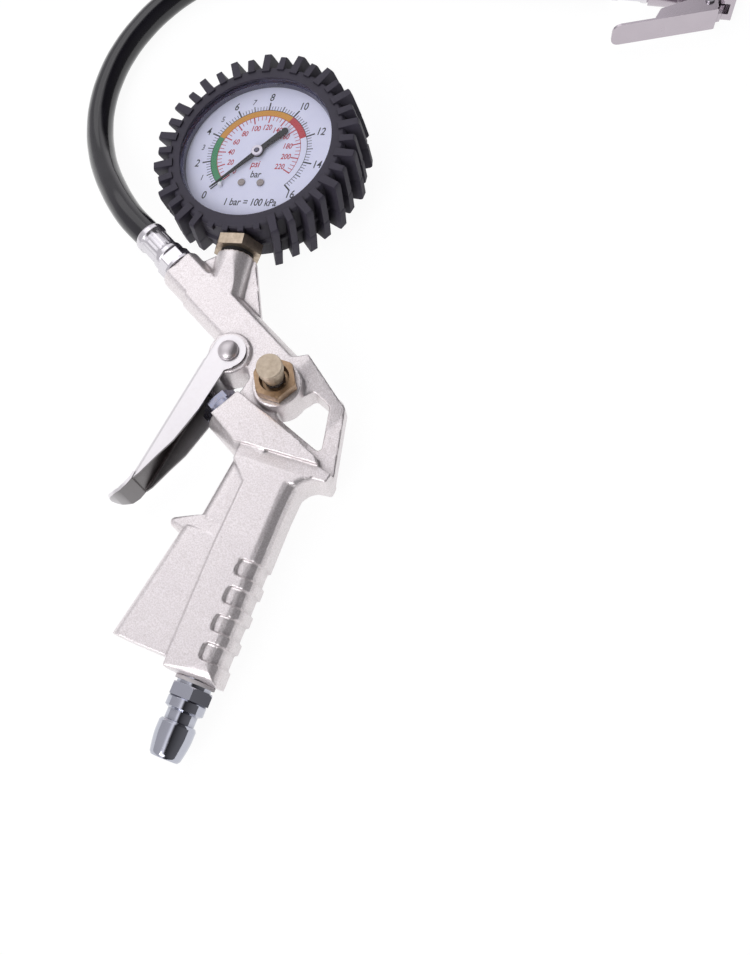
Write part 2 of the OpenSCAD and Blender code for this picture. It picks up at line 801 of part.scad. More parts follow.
module bleed_button() {
    edge = 0.5;
    color("#a39a72") lay() on_bleed() {
        translate([0, 0, button_top - edge])
            cylinder(r1 = button_r, r2 = button_r - edge, h = edge, $fn = round_fn);
        translate([0, 0, button_top - button_h])
            cylinder(r = button_r, h = button_h - edge, $fn = round_fn);
        translate([0, 0, neck_foot]) cylinder(
            r = button_r - 0.75, h = button_top - button_h - neck_foot + 0.2, $fn = round_fn
        );
        translate([0, 0, bleed_seat])
            cylinder(r = bleed_stem_r, h = neck_foot - bleed_seat + 0.2, $fn = round_fn);
        translate([0, 0, bleed_seat - 2]) cylinder(r = bleed_spigot, h = 2.2, $fn = round_fn);
    }
}

bleed_spring_r = 3.2;
bleed_wire_r = 0.33;
bleed_coil = helix(bleed_spring_r, 2.5, neck_foot - dish_floor - 2 * bleed_wire_r - 2 * seat_gap);
echo(str("bleed spring least gap ", turn_gap(bleed_coil, bleed_wire_r), " mm"));

module bleed_spring() {
    color("#c4c6ca") lay() on_bleed() translate([0, 0, dish_floor + bleed_wire_r + seat_gap])
        tube_along(bleed_coil, bleed_wire_r, 6);
}

module bleed_disc() {
    color("#202022") lay() on_bleed() translate([0, 0, bleed_seat - 1.4 - seat_gap])
        ring(2.3, bleed_spigot + 0.03, 1.4);
}

// ------------------------------------------------------------------- gauge

case_t = 0.7;
case_floor = -9.4;
case_front = 6.6;
boot_wall_gap = 0.15;
socket_hex_low = 1.7;
socket_hex_top = 5.6;
stem_y = -gauge_along;

module gauge_socket() {
    inner_y = -19;
    color("#9c8a5c") lay() on_gauge() difference() {
        union() {
            translate([0, stem_y + socket_hex_low, 0]) rotate([-90, 0, 0])
                hexagon(socket_af, socket_hex_top - socket_hex_low);
            translate([0, stem_y - 9, 0]) rotate([-90, 0, 0])
                cylinder(r = socket_r, h = 9 + socket_hex_low + 0.2, $fn = round_fn);
            translate([0, stem_y + socket_hex_top - 0.2, 0]) rotate([-90, 0, 0])
                cylinder(r = 4.6, h = 8, $fn = round_fn);
            translate([-5, -case_r + 2.6, -3.4]) cube([10, inner_y + case_r - 2.6, 5.8]);
        }
        translate([-10, -case_r + case_t, dial_z - 0.6 - seat_gap]) cube(20);
        translate([0, stem_y - 10, 0]) rotate([-90, 0, 0])
            cylinder(r = 1.3, h = 24, $fn = round_fn);
    }
}

module gauge_washer() {
    color("#3a352c") lay() on_gauge() translate([0, stem_y + seat_gap, 0]) rotate([-90, 0, 0])
        ring(neck_r - 0.9, socket_r + seat_gap, socket_hex_low - 2 * seat_gap);
}

module gauge_case() {
    color("#3b3b40") lay() on_gauge() difference() {
        translate([0, 0, case_floor]) cylinder(r = case_r, h = case_front - case_floor, $fn = 96);
        translate([0, 0, case_floor + case_t]) cylinder(r = case_r - case_t, h = 40, $fn = 96);
        translate([0, stem_y, 0]) rotate([-90, 0, 0])
            cylinder(r = 4.6 + boot_wall_gap, h = 20, $fn = round_fn);
    }
}

module gauge_bezel() {
    color("#4a4650") lay() on_gauge() translate([0, 0, dial_z + 0.6]) difference() {
        cylinder(r = case_r - case_t - seat_gap, h = case_front - dial_z - 1.8, $fn = 96);
        translate([0, 0, -1]) cylinder(r1 = window_r - 0.3, r2 = window_r + 0.1, h = 10, $fn = 96);
    }
}

lens_z = case_front - 1.15;
module gauge_lens() {
    color("#dfe8f0", 0.3) lay() on_gauge() translate([0, 0, lens_z])
        cylinder(r = case_r - case_t - seat_gap, h = 1.4, $fn = 96);
}

dial_screw_at = [[-3.6, -12.2], [3.6, -12.2]];
module dial_face() {
    color("#e9e9f4") lay() on_gauge() difference() {
        translate([0, 0, dial_z - 0.6]) cylinder(r = case_r - case_t - seat_gap, h = 0.6, $fn = 96);
        translate([0, 0, -5]) cylinder(r = 1.6, h = 20, $fn = 32);
        for (p = dial_screw_at) translate([p.x, p.y, -5]) cylinder(r = 0.9, h = 20, $fn = 24);
    }
}

module dial_screws() {
    color("#c8c8cc") lay() on_gauge() for (p = dial_screw_at) translate([p.x, p.y, 0]) {
        translate([0, 0, dial_z]) cylinder(r = 1.35, h = 0.6, $fn = 24);
        translate([0, 0, dial_z - 2.2]) cylinder(r = 0.85, h = 2.3, $fn = 24);
    }
}

zero_angle = 225;
module stop_pin() {
    at = 17.6 * [cos(zero_angle + 5), sin(zero_angle + 5)];
    color("#e6e6e6") lay() on_gauge() translate([at.x, at.y, dial_z])
        cylinder(r = 0.8, h = 1.5, $fn = 24);
}

pointer_z = dial_z + 0.9;
// Needle with a broad rounded tail, resting at zero
module pointer() {
    color("#1b1b1d") lay() on_gauge() rotate([0, 0, zero_angle]) translate([0, 0, pointer_z]) difference() {
        linear_extrude(0.5) {
            polygon([[0, -1], [pointer_len, -0.15], [pointer_len, 0.15], [0, 1], [-11, 1.25], [-11, -1.25]]);
            translate([-12, 0]) circle(r = 1.25, $fn = 32);
            circle(r = 2.2, $fn = 48);
        }
        translate([0, 0, -1]) cylinder(r = 0.75, h = 3, $fn = 32);
    }
}

module pointer_hub() {
    color("#d2d2d6") lay() on_gauge() translate([0, 0, pointer_z + 0.5]) ring(1.75, 0.75, 0.7);
}

spindle_r = 0.72;
spindle_foot = -6.2;
module pointer_spindle() {
    color("#b7a25e") lay() on_gauge() {
        translate([0, 0, spindle_foot])
            cylinder(r = spindle_r, h = pointer_z + 1.2 - spindle_foot, $fn = 32);
        translate([0, 0, -3.4]) cylinder(r = 1.3, h = 2.4, $fn = 32);
    }
}

// Toothed sector that turns the pointer's spindle
sector_r = 13;
sector_axis = [0, 1.3 + 0.12 + sector_r];
module sector_gear() {
    color("#b7a25e") lay() on_gauge() translate([sector_axis.x, sector_axis.y, 0]) {
        translate([0, 0, -3.1]) linear_extrude(1.6) difference() {
            polygon(concat(
                [[-1.6, 1.2], [-1.9, -1]],
                [for (a = [-118 : 4 : -62]) sector_r * [cos(a), sin(a)]],
                [[1.9, -1], [1.6, 1.2]]
            ));
            circle(r = 0.75, $fn = 24);
        }
    }
}

// Outline of the movement's plates, below and above the spindle
plate_half = 8;
plate_low = 15;
plate_high = 18;
post_x = 6.4;
post_y = -12.4;
// Foot that carries the plates on the socket's block
foot = [6, 5, 3.1];
foot_reach = 3.9;

module movement_frame() {
    low = -6.6;
    high = 0.4;
    plate_t = 1;
    color("#b7a25e") lay() on_gauge() difference() {
        union() {
            for (z = [low, high]) translate([0, 0, z]) linear_extrude(plate_t)
                polygon(rounded([
                    [-plate_half, -plate_low, 1.5], [plate_half, -plate_low, 1.5],
                    [plate_half, plate_high, 3], [-plate_half, plate_high, 3]
                ]));
            for (x = [-post_x, post_x]) translate([x, post_y, low])
                cylinder(r = 1.2, h = high - low + plate_t, $fn = 24);
            translate([0, sector_axis.y, low])
                cylinder(r = 0.7, h = high - low + plate_t, $fn = 24);
            translate([-foot.x / 2, -plate_low - foot_reach, low]) cube(foot);
        }
        translate([0, 0, low - 1])
            cylinder(r = spindle_r + running_gap, h = high - low + plate_t + 2, $fn = 32);
    }
}

// Curved pressure tube from the socket round to its free end
tube_bend_r = 22.5;
tube_half = [1, 2.6];
module bourdon_tube() {
    color("#b98a4a") lay() on_gauge() {
        rotate([0, 0, -78]) rotate_extrude(angle = 250, $fn = 72) translate([tube_bend_r, -3])
            polygon(rounded([
                [-tube_half.x, -tube_half.y, 0.8], [tube_half.x, -tube_half.y, 0.8],
                [tube_half.x, tube_half.y, 0.8], [-tube_half.x, tube_half.y, 0.8]
            ], 3));
    }
}

// Tread block in steps from the boot's back to its front, slanted clockwise to the back
module tread_block(angle, tall) {
    base = boot_r - 0.5;
    tip = tall ? lug_r : lug_r - lug_drop;
    foot = tall ? 1.9 : 1.5;
    steps = [
        [-boot_back, -6.6, tip, 1.8, 1.4],
        [-3.4, -3.6, tip, 1.8, 1.3],
        [-1.4, -3.2, tip, 1.5, 1.15],
        [boot_front - 0.6, 0, tip - 0.4, foot, 1]
    ];
    points = [for (g = steps) let (a = angle + g[1])
        for (q = [[base, -g[3]], [g[2], -g[4]], [g[2], g[4]], [base, g[3]]])
            [q.x * cos(a) - q.y * sin(a), q.x * sin(a) + q.y * cos(a), g[0]]];
    polyhedron(points, skin(4, len(steps)));
}

// Short block on the boot's lip over the socket, where the tread is left out
module lip_block(angle) {
    rotate([0, 0, angle]) translate([boot_r - 1.5, -1.4, boot_front - 2.6]) cube([2.5, 2.8, 2]);
}

module gauge_boot() {
    first = 94.5;
    pitch = 360 / lug_count;
    bare = 17;
    lip_r = boot_r - 0.8;
    back_r = case_r - 6.4;
    color("#2c2c31") lay() on_gauge() difference() {
        union() {
            rotate_extrude($fn = 96) polygon([
                [window_r, boot_front - 1.2], [window_r, boot_front - 0.2], [window_r + 0.3, boot_front],
                [lip_r, boot_front], [boot_r, boot_front - 0.9], [boot_r, -1.2], [boot_r + 0.9, -2],
                [boot_r + 0.9, -3.4], [boot_r, -4.2], [boot_r, -boot_back + 0.6], [boot_r - 0.6, -boot_back],
                [back_r, -boot_back], [back_r, case_floor - boot_wall_gap],
                [case_r + boot_wall_gap, case_floor - boot_wall_gap],
                [case_r + boot_wall_gap, boot_front - 1.2]
            ]);
            for (i = [0 : lug_count - 1]) {
                angle = first + i * pitch;
                if (abs(angle - 270) < bare) lip_block(angle);
                else tread_block(angle, i % 2 == 0);
            }
        }
        translate([0, stem_y, 0]) rotate([-90, 0, 0]) cylinder(r = 5, h = 20, $fn = round_fn);
        translate([-9.4, -lug_r - 2, -9.4]) cube([18.8, lug_r + 1.8 - boot_r, 18.8 - 1.4]);
    }
}

// ---------------------------------------------------------------- inlet plug

plug_gap = 2.3;
// Length of the straight stretch at the top of the nose
nose_land = 3;

module inlet_plug() {
    hex_h = 4;
    collar_h = 4;
    collar_r = nose_r + 0.2;
    groove_h = 3.1;
    groove_r = nose_r - 1.15;
    hex_top = plug_gap + hex_h;
    nose_top = hex_top + collar_h + groove_h;
    taper_from = nose_top + 1 + nose_land;
    bore_r = 3.2;
    color("#b9bcc4") lay() on_plug() difference() {
        union() {
            translate([0, 0, -plug_depth])
                cylinder(r = plug_thread_r, h = plug_depth + plug_gap + 0.2, $fn = round_fn);
            translate([0, 0, plug_gap]) intersection() {
                rotate([0, 0, 12]) hexagon(plug_af, hex_h);
                cylinder(r1 = plug_af / 2 + 0.3, r2 = plug_af / 2 + 4, h = hex_h, $fn = round_fn);
            }
            rotate_extrude($fn = round_fn) polygon(concat(
                [[0, hex_top - 0.2], [collar_r - 0.5, hex_top - 0.2], [collar_r, hex_top + 0.5],
                 [collar_r, hex_top + collar_h - 0.7], [groove_r, hex_top + collar_h],
                 [groove_r, nose_top]],
                [[nose_r - 0.5, nose_top + 0.2], [nose_r, nose_top + 1], [nose_r, taper_from]],
                [for (t = [0.2 : 0.2 : 1])
                    [nose_r - pow(t, 1.5), taper_from + (plug_len - taper_from - 0.8) * t]],
                [[nose_r - 1.6, plug_len], [0, plug_len]]
            ));
        }
        translate([0, 0, -plug_depth - 1])
            cylinder(r = bore_r, h = plug_depth + plug_len + 2, $fn = round_fn);
    }
}

// Thread sealing ring in the corner between the plug and the grip
module inlet_seal() {
    color("#a39a6b") lay() on_plug() translate([0, 0, seat_gap])
        ring(plug_thread_r + 0.9, plug_thread_r + seat_gap, 1.2);
}

// -------------------------------------------------------------- hose fittings

hex_from = port_reach + 1.1;
fitting_hex = 4.6;
ferrule_from = hex_from + fitting_hex + seat_gap;
hose_seat = 5.6;
barb_r = 2.6;

module port_washer() {
    color("#2a2a2c") lay() on_barrel() translate([0, 0, -hex_from + seat_gap])
        ring(port_r - 0.8, fitting_r + seat_gap, hex_from - port_reach - 2 * seat_gap);
}

// Hexagon adapter with a screw end in the port and a barb in the hose
module hose_fitting() {
    color("#d7d6da") lay() on_barrel() rotate([180, 0, 0]) difference() {
        union() {
            translate([0, 0, port_reach - fitting_depth])
                cylinder(r = fitting_r, h = fitting_depth + 1.3, $fn = round_fn);
            translate([0, 0, hex_from]) rotate([0, 0, 30]) hexagon(11.4, fitting_hex);
            translate([0, 0, hex_from + fitting_hex - 0.2])
                cylinder(r = barb_r, h = hose_seat, $fn = round_fn);
        }
        translate([0, 0, port_reach - fitting_depth - 1]) cylinder(r = 1.7, h = 40, $fn = round_fn);
    }
}

// Crimped sleeve, open for the hose at its mouth
module ferrule() {
    crimp_sides = 10;
    lip = 2.4;
    difference() {
        union() {
            cylinder(r = ferrule_r, h = lip, $fn = round_fn);
            translate([0, 0, 1])
                cylinder(r = ferrule_r - 0.06, h = ferrule_len - 2, $fn = crimp_sides);
            translate([0, 0, ferrule_len - lip]) cylinder(r = ferrule_r, h = lip, $fn = round_fn);
        }
        translate([0, 0, hose_seat])
            cylinder(r = hose_r + seat_gap, h = ferrule_len, $fn = round_fn);
        translate([0, 0, -1]) cylinder(r = barb_r + seat_gap, h = ferrule_len, $fn = round_fn);
    }
}

module gun_ferrule() {
    color("#dcdbe0") lay() on_barrel() rotate([180, 0, 0]) translate([0, 0, ferrule_from])
        ferrule();
}

// -------------------------------------------------------------------- hose

// Place of the chuck's mouth on the floor and the way that it points
chuck_at = [121.2, 203.4, 6.6];
chuck_turn = 7.5;

// Point s along the barrel, seen in the frame in which the gun lies on its side
function lay_pt(s) =
    let (g = barrel_pt(s, barrel_rise))
    [g.x - mid_x, g.y * cos(lie_tilt) - mid_y, g.y * sin(lie_tilt) - floor_z];

// Point s behind the chuck's mouth
function chuck_pt(s) = chuck_at - s * [cos(chuck_turn), sin(chuck_turn), 0];

// The hose's ends are straight in their ferrules
gun_end = ferrule_from + hose_seat;
gun_mouth = ferrule_from + ferrule_len;
chuck_end = chuck_len + seat_gap + hose_seat;
chuck_mouth = chuck_len + seat_gap + ferrule_len;

// Route of the hose's centre line over the floor, chosen by hand
hose_route = concat(
    [lay_pt(-gun_end), lay_pt(-gun_mouth)],
    [
        [-51.8, 46.3, 14.2], [-58.9, 51.4, 13.1], [-66.2, 57.7, 11.2], [-73.4, 64.8, 8.9],
        [-79.9, 72.7, 6.9], [-86.5, 83.4, 5.5], [-91, 95, 5.2], [-93.4, 108, 5.2],
        [-93.6, 120, 5.2], [-91.6, 132.5, 5.2], [-87.4, 145, 5.2], [-81, 156.5, 5.2],
        [-73, 166, 5.2], [-63.5, 173.5, 5.2], [-53, 178.6, 5.2], [-41, 181.8, 5.2],
        [-24, 184.4, 5.2], [-4, 187, 5.3], [16, 189.6, 5.5], [36, 192.2, 6], [56, 194.8, 6.4]
    ],
    [chuck_pt(chuck_mouth + 2), chuck_pt(chuck_end)]
);

module hose() {
    color("#17171a") tube_along(hose_route, hose_r, 12);
}

// ------------------------------------------------------------------- chuck

clip_pin = [-9, -8.2];
clip_pin_r = 1.1;
clip_t = 0.8;
clip_angle = 19.5;
gasket_t = 3;
// How much wider than the mouth the gasket's seat is
gasket_lip = 0.3;
mouth_depth = 6;
tab_half = clip_half - clip_t - 0.25;
jaw_half = 2;
coil_room = 3.2;

// x out of the chuck's mouth, with its lever on the negative y side
module on_chuck() {
    translate(chuck_at) rotate([0, 0, chuck_turn]) children();
}

// z out of the chuck's mouth
module along_chuck() {
    on_chuck() rotate([0, 90, 0]) children();
}

module chuck_body() {
    head_len = 5.4;
    head_half = 7.3;
    color("#c3c3c9") difference() {
        union() {
            along_chuck() translate([0, 0, -chuck_len])
                cylinder(r = chuck_r, h = chuck_len, $fn = round_fn);
            along_chuck() translate([0, 0, -chuck_len - hose_seat])
                cylinder(r = barb_r, h = hose_seat + 1, $fn = round_fn);
            on_chuck() translate([-head_len, 0, 0]) rotate([0, 90, 0]) linear_extrude(head_len)
                polygon(rounded([[-chuck_r + 0.1, -head_half, 2], [chuck_r - 0.1, -head_half, 2],
                    [chuck_r - 0.1, head_half, 2], [-chuck_r + 0.1, head_half, 2]]));
            on_chuck() linear_extrude(2 * tab_half, center = true)
                polygon(rounded([[-13.5, -2, 0], [-12, -10.4, 2.4], [-6.4, -10.4, 1.6], [-6.4, -2, 0]]));
        }
        along_chuck() {
            translate([0, 0, -mouth_depth]) cylinder(r = mouth_r, h = 20, $fn = round_fn);
            translate([0, 0, -mouth_depth - gasket_t - 0.3])
                cylinder(r = mouth_r + gasket_lip, h = gasket_t + 0.3, $fn = round_fn);
            translate([0, 0, -chuck_len - 8]) cylinder(r = 1.6, h = chuck_len, $fn = round_fn);
        }
        on_chuck() {
            translate([clip_pin.x, clip_pin.y, 0])
                cylinder(r = clip_pin_r + running_gap, h = 20, center = true, $fn = 32);
            translate([-5.6, -12, -jaw_half - 0.4])
                cube([4.1, 12 - mouth_r + 0.6, 2 * jaw_half + 0.8]);
            translate([-20, -12, -coil_room / 2]) cube([14, 12 - chuck_r + 0.3, coil_room]);
        }
    }
}

module chuck_gasket() {
    color("#1e1e20") along_chuck() translate([0, 0, -mouth_depth - gasket_t])
        ring(mouth_r + gasket_lip - seat_gap, 1.9, gasket_t - seat_gap);
}

// Pin that opens the tyre valve's core
module chuck_depressor() {
    color("#b8a25c") along_chuck() {
        translate([0, 0, -mouth_depth - gasket_t - 2])
            cylinder(r = 1.1, h = gasket_t + 1.7, $fn = 32);
    }
}

// Sheet-metal lever with side walls round the pin and a jaw at its front
module chuck_lever() {
    front = [-5.6, -11.4];
    long = 37;
    wall_len = 22.4;
    back = front - wall_len * [cos(clip_angle), sin(clip_angle)];
    sunk = 0.4 * [sin(clip_angle), -cos(clip_angle)];
    color("#d4d3d8") on_chuck() difference() {
        union() {
            translate([front.x, front.y, 0]) rotate([0, 0, 180 + clip_angle]) rotate([90, 0, 0])
                translate([0, 0, -clip_t]) linear_extrude(clip_t) polygon(rounded([
                    [0, -clip_half, 0.4], [long, -clip_half, 3], [long, clip_half, 3], [0, clip_half, 0.4]
                ]));
            for (side = [-1, 1]) translate([0, 0, side * (clip_half - clip_t / 2 - 0.03)])
                linear_extrude(clip_t, center = true) polygon(rounded([
                    [front.x + sunk.x - 0.5, front.y + sunk.y - 0.2, 0], [front.x, front.y + 0.4, 0.3],
                    [clip_pin.x + 2.5, clip_pin.y + 1.7, 1.2], [clip_pin.x - 2.4, clip_pin.y + 1.9, 1.5],
                    [back.x + 1.6, back.y + 4.6, 1], [back.x + sunk.x, back.y + sunk.y, 0]
                ]));
            linear_extrude(2 * jaw_half, center = true) polygon([
                [front.x - 0.4, front.y - 0.6], [front.x + 1.5, front.y + 0.1], [-3, -5.2],
                [-2.8, -mouth_r - 0.35], [-3.8, -mouth_r - 0.35], [-4.1, -5.4], [front.x + 0.3, front.y + 0.8]
            ]);
        }
        translate([clip_pin.x, clip_pin.y, 0])
            cylinder(r = clip_pin_r + running_gap, h = 20, center = true, $fn = 32);
    }
}

module chuck_pin() {
    head_t = 0.7;
    color("#b9b9bf") on_chuck() translate([clip_pin.x, clip_pin.y, -clip_half - seat_gap]) {
        cylinder(r = clip_pin_r, h = 2 * clip_half + 2 * seat_gap, $fn = 32);
        translate([0, 0, -head_t]) cylinder(r = clip_pin_r + 0.6, h = head_t, $fn = 32);
        translate([0, 0, 2 * clip_half + 2 * seat_gap])
            cylinder(r = clip_pin_r + 0.6, h = head_t, $fn = 32);
    }
}

// Torsion spring round the pin, between the two tabs of the chuck's body
clip_wire_r = 0.3;
clip_coil_r = clip_pin_r + running_gap + clip_wire_r + 0.15;
clip_coil_pitch = 1.05;
clip_coil = concat(
    [[4.2, clip_coil_r, 0]],
    [for (p = helix(clip_coil_r, 2, 2 * clip_coil_pitch)) [p.y, p.x, p.z]],
    [[-3.4, clip_coil_r, 2 * clip_coil_pitch]]
);
echo(str("chuck spring least gap ", turn_gap(clip_coil, clip_wire_r), " mm"));

module chuck_spring() {
    color("#a8abb2") on_chuck() translate([clip_pin.x, clip_pin.y, -clip_coil_pitch]) rotate([0, 0, 180])
        tube_along(clip_coil, clip_wire_r, 6);
}

module chuck_ferrule() {
    color("#dcdbe0") along_chuck() rotate([180, 0, 0]) translate([0, 0, chuck_len + seat_gap])
        ferrule();
}

gun_body();
trigger_lever();
pivot_pin();
pivot_washer();
valve_bonnet();
valve_stem();
stem_seal();
valve_seat();
valve_disc();
disc_seal();
valve_spring();
bleed_nut();
bleed_button();
bleed_spring();
bleed_disc();
bleed_washer();
gauge_socket();
gauge_washer();
gauge_case();
gauge_boot();
gauge_bezel();
gauge_lens();
dial_face();
dial_screws();
stop_pin();
pointer();
pointer_hub();
pointer_spindle();
sector_gear();
movement_frame();
bourdon_tube();
inlet_plug();
inlet_seal();
port_washer();
hose_fitting();
gun_ferrule();
hose();
chuck_ferrule();
chuck_body();
chuck_gasket();
chuck_depressor();
chuck_lever();
chuck_pin();
chuck_spring();
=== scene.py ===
"""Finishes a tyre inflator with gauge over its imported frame.

Each sub-assembly is a class that holds its sizes, builds its meshes and dresses them. Sizes are in
millimetres, as on a drawing, and become metres where a mesh is made.
"""

import json
import logging
import math
from collections.abc import Callable, Iterator, Sequence
from contextlib import contextmanager
from dataclasses import dataclass
from enum import Enum
from typing import Any

import bmesh
import bpy
from mathutils import Matrix, Vector

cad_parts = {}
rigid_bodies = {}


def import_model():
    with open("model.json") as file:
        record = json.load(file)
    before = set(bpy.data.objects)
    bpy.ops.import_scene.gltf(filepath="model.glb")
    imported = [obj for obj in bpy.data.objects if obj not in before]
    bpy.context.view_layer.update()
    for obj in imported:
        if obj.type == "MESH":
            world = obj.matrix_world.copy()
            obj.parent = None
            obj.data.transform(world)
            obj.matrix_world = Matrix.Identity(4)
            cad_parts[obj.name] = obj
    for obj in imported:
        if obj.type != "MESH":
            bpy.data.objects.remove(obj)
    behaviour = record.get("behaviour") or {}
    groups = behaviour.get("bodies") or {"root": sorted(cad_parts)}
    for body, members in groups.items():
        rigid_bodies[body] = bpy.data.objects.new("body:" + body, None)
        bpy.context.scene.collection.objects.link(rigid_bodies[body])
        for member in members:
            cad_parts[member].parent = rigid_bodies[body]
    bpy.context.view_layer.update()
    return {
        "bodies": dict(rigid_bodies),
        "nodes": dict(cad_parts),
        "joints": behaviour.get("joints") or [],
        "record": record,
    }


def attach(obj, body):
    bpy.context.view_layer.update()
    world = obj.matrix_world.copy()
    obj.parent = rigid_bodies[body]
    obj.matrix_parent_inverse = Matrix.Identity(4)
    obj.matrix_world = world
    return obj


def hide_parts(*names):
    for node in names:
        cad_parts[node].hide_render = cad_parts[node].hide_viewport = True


LOG = logging.getLogger("inflator")
Colour = tuple[float, float, float, float]
Profile = Sequence[tuple[float, float]]

MM = 0.001
# Lengths in millimetres and angles in degrees.
MERGE = 0.002
FLAT_ANGLE = 0.6
BEVEL_ANGLE = 30.0
BEVEL_SEGMENTS = 2
SMOOTH_ANGLE = 35.0
PRINT_THICKNESS = 0.02
PRINT_WEIGHT = 0.045
# Height of a capital letter against the size of its font, and the steps in its curves.
CAP_SHARE = 0.7
FONT_STEPS = 4
# Sockets of the Mix node when it mixes colours.
MIX_FACTOR, MIX_FIRST, MIX_SECOND, MIX_RESULT = 0, 6, 7, 2
WHITE: Colour = (1.0, 1.0, 1.0, 1.0)


# ------------------------------------------------------------------------------------------ places


@dataclass(frozen=True)
class Place:
    """A local frame on the object, in which lengths are in millimetres."""

    matrix: Matrix

    def shifted(self, x: float = 0.0, y: float = 0.0, z: float = 0.0) -> "Place":
        """Returns this place moved along its own axes."""
        return Place(self.matrix @ Matrix.Translation(Vector((x, y, z)) * MM))

    def turned(self, degrees: float, axis: str = "Z") -> "Place":
        """Returns this place turned about one of its own axes."""
        return Place(self.matrix @ Matrix.Rotation(math.radians(degrees), 4, axis))

    def point(self, x: float, y: float, z: float = 0.0) -> Vector:
        """Returns a local point in the row frame, in metres."""
        return self.matrix @ (Vector((x, y, z)) * MM)


@dataclass(frozen=True)
class Layout:
    """Places of the sub-assemblies, from the trigger's pivot and a few driving sizes."""

    gun: Place
    barrel_slope: float = 28.0
    barrel_rise: float = 8.4
    neck: tuple[float, float] = (-14.4, 36.0)
    neck_lean: float = 10.0
    gauge_along: float = 40.5
    gauge_turn: float = 7.6
    bleed: tuple[float, float] = (20.3, -6.3)
    chuck_at: tuple[float, float, float] = (121.2, 203.4, 6.6)
    chuck_turn: float = 7.5

    @classmethod
    def from_frame(cls, frame: dict[str, Any]) -> "Layout":
        """Reads the gun's place from the joint that carries the trigger.


        Returns:
            The layout of the whole object.
        """
        joint = next(j for j in frame["joints"] if j["name"] == "trigger_pivot")
        axis = Vector(joint["axis"])
        lie = Matrix.Rotation(math.atan2(-axis.y, axis.z), 4, "X")
        return cls(Place(Matrix.Translation(Vector(joint["pos_m"])) @ lie))

    @property
    def barrel(self) -> Place:
        """The barrel's line, with z towards the tail."""
        return self.gun.turned(-self.barrel_slope).shifted(y=self.barrel_rise).turned(90, "Y")

    @property
    def gauge(self) -> Place:
        """The middle of the gauge, with z out of its dial."""
        neck = self.gun.shifted(*self.neck).turned(self.neck_lean)
        return neck.shifted(y=self.gauge_along).turned(-self.gauge_turn, "Y")

    @property
    def bleed_line(self) -> Place:
        """The bleed valve's line, with z out of the gun's side."""
        return self.gun.shifted(*self.bleed)

    @property
    def chuck(self) -> Place:
        """The chuck's mouth, with x out of it."""
        return Place(Matrix.Identity(4)).shifted(*self.chuck_at).turned(self.chuck_turn)


# ------------------------------------------------------------------------------------- mesh making


class Element(Enum):
    """Kinds of mesh element that an edit selects."""

    VERT = "VERT"
    EDGE = "EDGE"
    FACE = "FACE"


def select_only(*pieces: bpy.types.Object) -> None:
    """Selects some pieces and nothing else, with the first one active."""
    bpy.ops.object.select_all(action="DESELECT")
    for piece in pieces:
        piece.select_set(True)
    bpy.context.view_layer.objects.active = pieces[0]


@contextmanager
def editing(piece: bpy.types.Object, kind: Element = Element.FACE) -> Iterator[None]:
    """Opens a piece in edit mode with nothing selected, and closes it after.

    Args:
        piece: the object to edit.
        kind: the kind of element that the edit selects.
    """
    select_only(piece)
    bpy.ops.object.mode_set(mode="EDIT")
    bpy.ops.mesh.select_mode(type=kind.value)
    bpy.ops.mesh.select_all(action="DESELECT")
    yield
    bpy.ops.object.mode_set(mode="OBJECT")


def choose_faces(piece: bpy.types.Object, test: Callable[[Vector, Vector], bool]) -> None:
    """Selects the faces of a piece that is open in edit mode.

    Args:
        piece: the object being edited.
        test: says yes or no to a face's middle, in millimetres, and its normal.
    """
    mesh = bmesh.from_edit_mesh(piece.data)
    for face in mesh.faces:
        face.select_set(test(face.calc_center_median() / MM, face.normal))
    bmesh.update_edit_mesh(piece.data)


def primitive(
    name: str, operator: Callable[..., set[str]], **settings: Any
) -> bpy.types.Object:
    """Adds a primitive mesh, and puts its place in its mesh.

    Args:
        name: the piece's name.
        operator: what adds the mesh.
        settings: what the operator is told.

    Returns:
        The new piece.
    """
    bpy.ops.object.select_all(action="DESELECT")
    operator(**settings)
    piece = bpy.context.active_object
    piece.name = name
    piece.data.name = name
    bpy.ops.object.transform_apply(location=True, rotation=True, scale=True)
    return piece


def tidy_normals(piece: bpy.types.Object) -> None:
    """Merges a piece's double points and turns its faces outwards."""
    with editing(piece, Element.VERT):
        bpy.ops.mesh.select_all(action="SELECT")
        bpy.ops.mesh.remove_doubles(threshold=MERGE * MM)
        bpy.ops.mesh.normals_make_consistent(inside=False)


def modify(piece: bpy.types.Object, kind: str, **settings: Any) -> None:
    """Adds a modifier with the given settings and applies it."""
    select_only(piece)
    modifier = piece.modifiers.new(kind.lower(), kind)
    for key, value in settings.items():
        setattr(modifier, key, value)
    bpy.ops.object.modifier_apply(modifier=modifier.name)


def bevel(piece: bpy.types.Object, width: float, angle: float = BEVEL_ANGLE) -> None:
    """Rounds the edges of a piece that are sharper than an angle.

    Args:
        piece: the object to round.
        width: width of the rounding, in millimetres.
        angle: least angle of an edge that is rounded, in degrees.
    """
    modify(
        piece,
        "BEVEL",
        width=width * MM,
        segments=BEVEL_SEGMENTS,
        limit_method="ANGLE",
        angle_limit=math.radians(angle),
        use_clamp_overlap=True,
    )


def smooth(piece: bpy.types.Object, angle: float) -> None:
    """Shades a piece smooth, apart from edges sharper than an angle in degrees."""
    select_only(piece)
    bpy.ops.object.shade_smooth_by_angle(angle=math.radians(angle))


def join(name: str, pieces: Sequence[bpy.types.Object]) -> bpy.types.Object:
    """Joins pieces into one mesh under a new name."""
    select_only(*pieces)
    if len(pieces) > 1:
        bpy.ops.object.join()
    piece = bpy.context.active_object
    piece.name = name
    piece.data.name = name
    return piece


